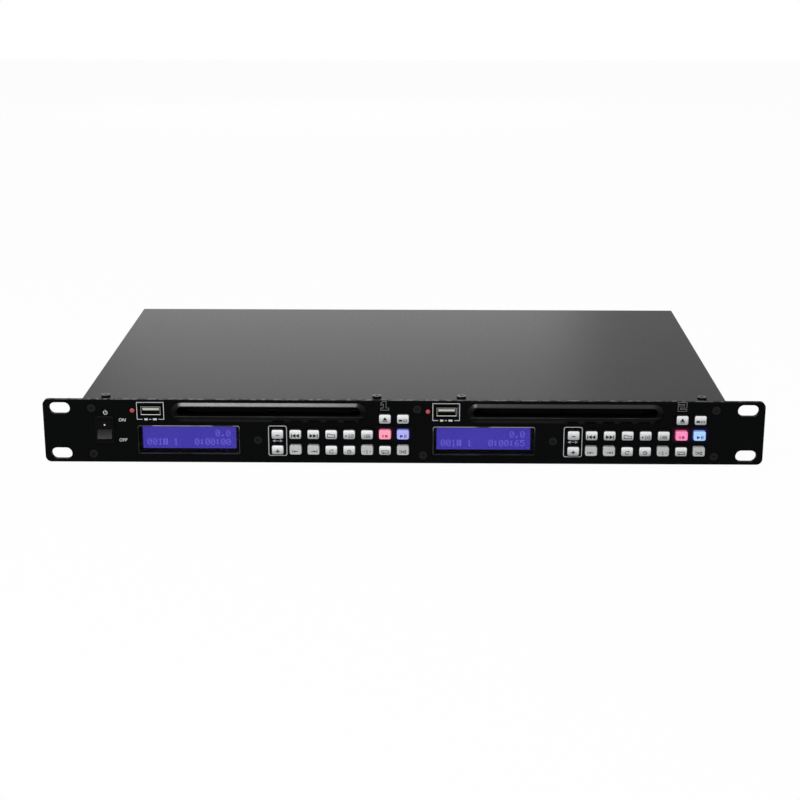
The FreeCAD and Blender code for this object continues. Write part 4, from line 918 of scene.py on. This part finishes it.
def key_signs():
    """A generic sign for each key, in millimetres from the middle of the key's face."""
    low = -0.9
    thin = 0.4
    bar = 0.42
    signs = {name: Ink() for row in KEY_ROWS for name in row if name}
    signs["pitch_down"].rect(0, low + 0.3, 2.4, 0.6)
    signs["pitch_up"].rect(0, low + 0.1, 2.7, 0.7).rect(0, low + 0.1, 0.7, 2.5)
    signs["previous"].rect(-2.65, low, 0.6, 2.7)
    signs["next"].rect(2.65, low, 0.6, 2.7)
    for tip in (-2.3, 0.1):
        signs["previous"].polygon(arrow(tip, 2.4, 2.8, low))
        signs["next"].polygon(arrow(-tip, -2.4, 2.8, low))
    folder = [(-2.4, -1.8), (2.4, -1.8), (2.4, -0.1), (0.1, -0.1), (-0.4, 0.4), (-2.4, 0.4)]
    signs["folder"].stroke(folder, bar, True)
    signs["plus_ten"].add(dot_text("10", -0.7, low, 1.95, (0.38, 0.36)))
    signs["plus_ten"].rect(-2.1, low, 1.6, bar).rect(-2.1, low, bar, 1.6)
    for rise in (-0.85, 0.0, 0.85):
        signs["program"].rect(0.6, low + rise, 3.2, thin).disc(-1.9, low + rise, 0.3)
    signs["cue"].rect(-1.7, low, bar, 2.0).rect(-0.9, low, bar, 2.0).disc(0.9, low, 1.0)
    signs["play"].polygon(arrow(0.4, -2.3, 2.3, low))
    signs["play"].rect(1.2, low, 0.5, 2.3).rect(2.1, low, 0.5, 2.3)
    signs["eject"].polygon([(-1.6, -0.9), (1.6, -0.9), (0, 1.4)]).rect(0, -1.6, 3.2, 0.5)
    frame_corners = [(0.3, low - 0.55), (2.6, low - 0.55), (2.6, low + 0.55), (0.3, low + 0.55)]
    signs["mode"].rect(-1.6, low, 2.3, 1.3).stroke(frame_corners, 0.35, True)
    for name, side in (("loop_in", 1), ("loop_out", -1)):
        signs[name].rect(-2.2 * side, low, bar, 2.0).rect(0.6 * side, low, 2.4, bar)
        signs[name].polygon(arrow(-1.7 * side, 1.4 * side, 1.5, low))
    signs["reloop"].arc(0, low, 1.15, thin, 60, 350)
    signs["reloop"].polygon([(0.5, 0.65), (1.7, 0.2), (0.6, -0.5)])
    signs["time"].arc(0, low, 1.2, thin, 0, 360)
    signs["time"].rect(0.0, low + 0.35, 0.34, 0.95).rect(0.33, low, 0.9, 0.34)
    signs["single"].add(dot_text("1", -0.9, low, 1.0, (0.4, 0.36)))
    signs["single"].rect(-2.1, low, 1.2, thin).rect(2.1, low, 1.2, thin)
    track_low, track_high = low - 0.8, low + 0.8
    track = [(-1.2, track_low), (2.3, track_low), (2.3, track_high), (-2.3, track_high)]
    signs["repeat"].stroke([*track, (-2.3, low - 0.2)], thin)
    signs["repeat"].polygon(arrow(-2.2, 1.3, 1.5, track_low))
    for rise in (-0.7, 0.7):
        start, end = low + rise, low - rise
        signs["shuffle"].stroke([(-2.5, start), (-1.2, start), (0.8, end), (1.5, end)], thin)
        signs["shuffle"].polygon(arrow(2.5, -1.2, 1.2, start))
    return signs


def ink_finish(name, dark, light, rough=0.5):
    return painted(name, dark, light, rough, grain=900.0, depth=0.01, Specular_IOR_Level=0.05)


def print_key_signs():
    plain = ink_finish("ink_grey", (0.003, 0.003, 0.0034), (0.008, 0.008, 0.009)).material
    inks = {
        "cue": ink_finish("ink_rose", (0.45, 0.05, 0.12), (0.55, 0.08, 0.16)).material,
        "play": ink_finish("ink_navy", (0.012, 0.015, 0.16), (0.02, 0.03, 0.22)).material,
    }
    signs = key_signs()
    for deck, shift in DECK_SHIFT.items():
        for row, names in enumerate(KEY_ROWS):
            for column, name in enumerate(names):
                if name is None:
                    continue
                x = KEY_COLUMN + column * KEY_PITCH_X + shift
                sign = signs[name].shifted(x, KEY_ROW + row * KEY_PITCH_Z)
                slot = f"{name}_key_{deck}" if name in inks else "silver_key"
                body = f"key_{deck}_{name}"
                sign.build(f"sign_{deck}_{name}", KEY_FRONT, inks.get(name, plain), body, slot)


def frame_controls(ink, shift):
    """The lines round one deck's data socket and pitch keys, with plain signs in them."""
    line = 0.4
    left, right, low, high = -178.1 + shift, -160.2 + shift, 8.3, 20.1
    middle = (left + right) / 2
    gap = 5.4
    corners = [(left, low), (left, high), (right, high), (right, low)]
    ink.stroke([(middle - gap, low), *corners, (middle + gap, low)], line)
    for offset, width, height in ((-3.0, 2.2, 1.3), (-0.2, 1.4, 0.5), (2.9, 2.6, 1.3)):
        ink.rect(middle + offset, low, width, height)
    ink.stroke(rounded_outline(-90.2 + shift, -78.1 + shift, -16.8, 4.0, 1.3), line, True)
    middle, row = -84.15 + shift, -6.5
    ink.rect(middle, row, 2.0, 0.45)
    for side in (-1, 1):
        ink.polygon(arrow(middle + side * 3.45, side * -2.0, 2.0, row))


def print_panel():
    """White lines, the power sign and the switch's words, and the outlined deck numbers."""
    ink = Ink()
    for shift in DECK_SHIFT.values():
        frame_controls(ink, shift)
    # the sign for power: a broken ring with a bar
    power_x, power_z = -199.3, 12.9
    ink.arc(power_x, power_z, 1.25, 0.5, 125, 415).rect(power_x, power_z + 0.9, 0.5, 1.6)
    white = ink_finish("ink_white", (0.52, 0.53, 0.54), (0.68, 0.69, 0.70)).material
    ink.build("panel_print", PANEL_FRONT, white, CASE, "panel_black")
    for word, x, z in (("ON", -190.8, 6.75), ("OFF", -191.0, -7.35)):
        print_word(f"word_{word.lower()}", word, x, z, white)

    numbers = Ink()
    row = 15.4
    foot = [(-2.7, 0), (2.7, 0), (2.7, 1.5), (0.9, 1.5)]
    one = [*foot, (0.9, 6.2), (-0.7, 6.2), (-2.5, 4.9), (-2.5, 3.3), (-0.9, 4.2)]
    one += [(-0.9, 1.5), (-2.7, 1.5)]
    two = [(-2.9, 0), (2.9, 0), (2.9, 1.4), (-1.3, 1.4), (-1.3, 2.4), (2.9, 2.4)]
    two += [(2.9, 6.2), (-2.9, 6.2), (-2.9, 4.8), (1.3, 4.8), (1.3, 3.8), (-2.9, 3.8)]
    for outline, x in ((one, -12.2), (two, 186.0)):
        numbers.stroke([(x + px, row + pz) for px, pz in outline], 0.3, True)
    grey = ink_finish("ink_outline", (0.16, 0.16, 0.165), (0.24, 0.24, 0.25)).material
    numbers.build("deck_numbers", PANEL_FRONT, grey, CASE, "panel_black")


def print_word(name, text, x, z, finish):
    """Slanted lettering on the panel from its lower left corner."""
    curve = bpy.data.curves.new(name, "FONT")
    curve.body = text
    curve.size = 3.1 * MM
    curve.shear = 0.15
    curve.offset = 0.03 * MM
    curve.extrude = INK_THICK / 2 * MM
    source = bpy.data.objects.new(name, curve)
    bpy.context.scene.collection.objects.link(source)
    bpy.context.view_layer.update()
    solid = source.evaluated_get(bpy.context.evaluated_depsgraph_get())
    mesh = bpy.data.meshes.new_from_object(solid)
    bpy.data.objects.remove(source)
    stand = Matrix.Translation((x * MM, (PANEL_FRONT - INK_THICK / 2 - INK_LIFT) * MM, z * MM))
    mesh.transform(stand @ Matrix.Rotation(math.pi / 2, 4, "X"))
    mesh.materials.clear()
    mesh.materials.append(finish)
    item = bpy.data.objects.new(name, mesh)
    bpy.context.scene.collection.objects.link(item)
    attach(item, CASE)


def fill_displays():
    """The characters of each display: a speed, a track and a time."""
    cell, dot, gap = 3.55, (0.52, 0.56), 0.08
    first_column, upper, lower = -172.2, -2.6, -8.7
    glass_front = 1.3
    finish = ink_finish("display_characters", (0.05, 0.05, 0.3), (0.06, 0.06, 0.34), 0.4)
    finish.glow((0.16, 0.13, 0.60), 1.0)
    for deck, clock in (("a", "0:00:00"), ("b", "0:00:65")):
        left = first_column + DECK_SHIFT[deck]
        ink = Ink()
        for text, place, row in (("0.0", 13, upper), ("001| 1", 0, lower), (clock, 9, lower)):
            ink.add(dot_text(text, left + place * cell, row, cell, dot, gap))
        ink.build(f"display_text_{deck}", glass_front, finish.material, CASE, "display_cell")


def mark_rocker():
    """The white dot on the end of the rocker that is pressed in when the player is on."""
    cap_front = -4.17
    finish = ink_finish("rocker_dot_white", (0.6, 0.6, 0.6), (0.75, 0.75, 0.75)).material
    dot = Ink().disc(SWITCH_COLUMN, 4.6, 0.6)
    dot.build("rocker_dot", cap_front, finish, "power_rocker", "switch_black")


make_camera()
make_world()
make_floor()
make_lamps()
dress_nodes(make_finishes())
print_key_signs()
print_panel()
fill_displays()
mark_rocker()
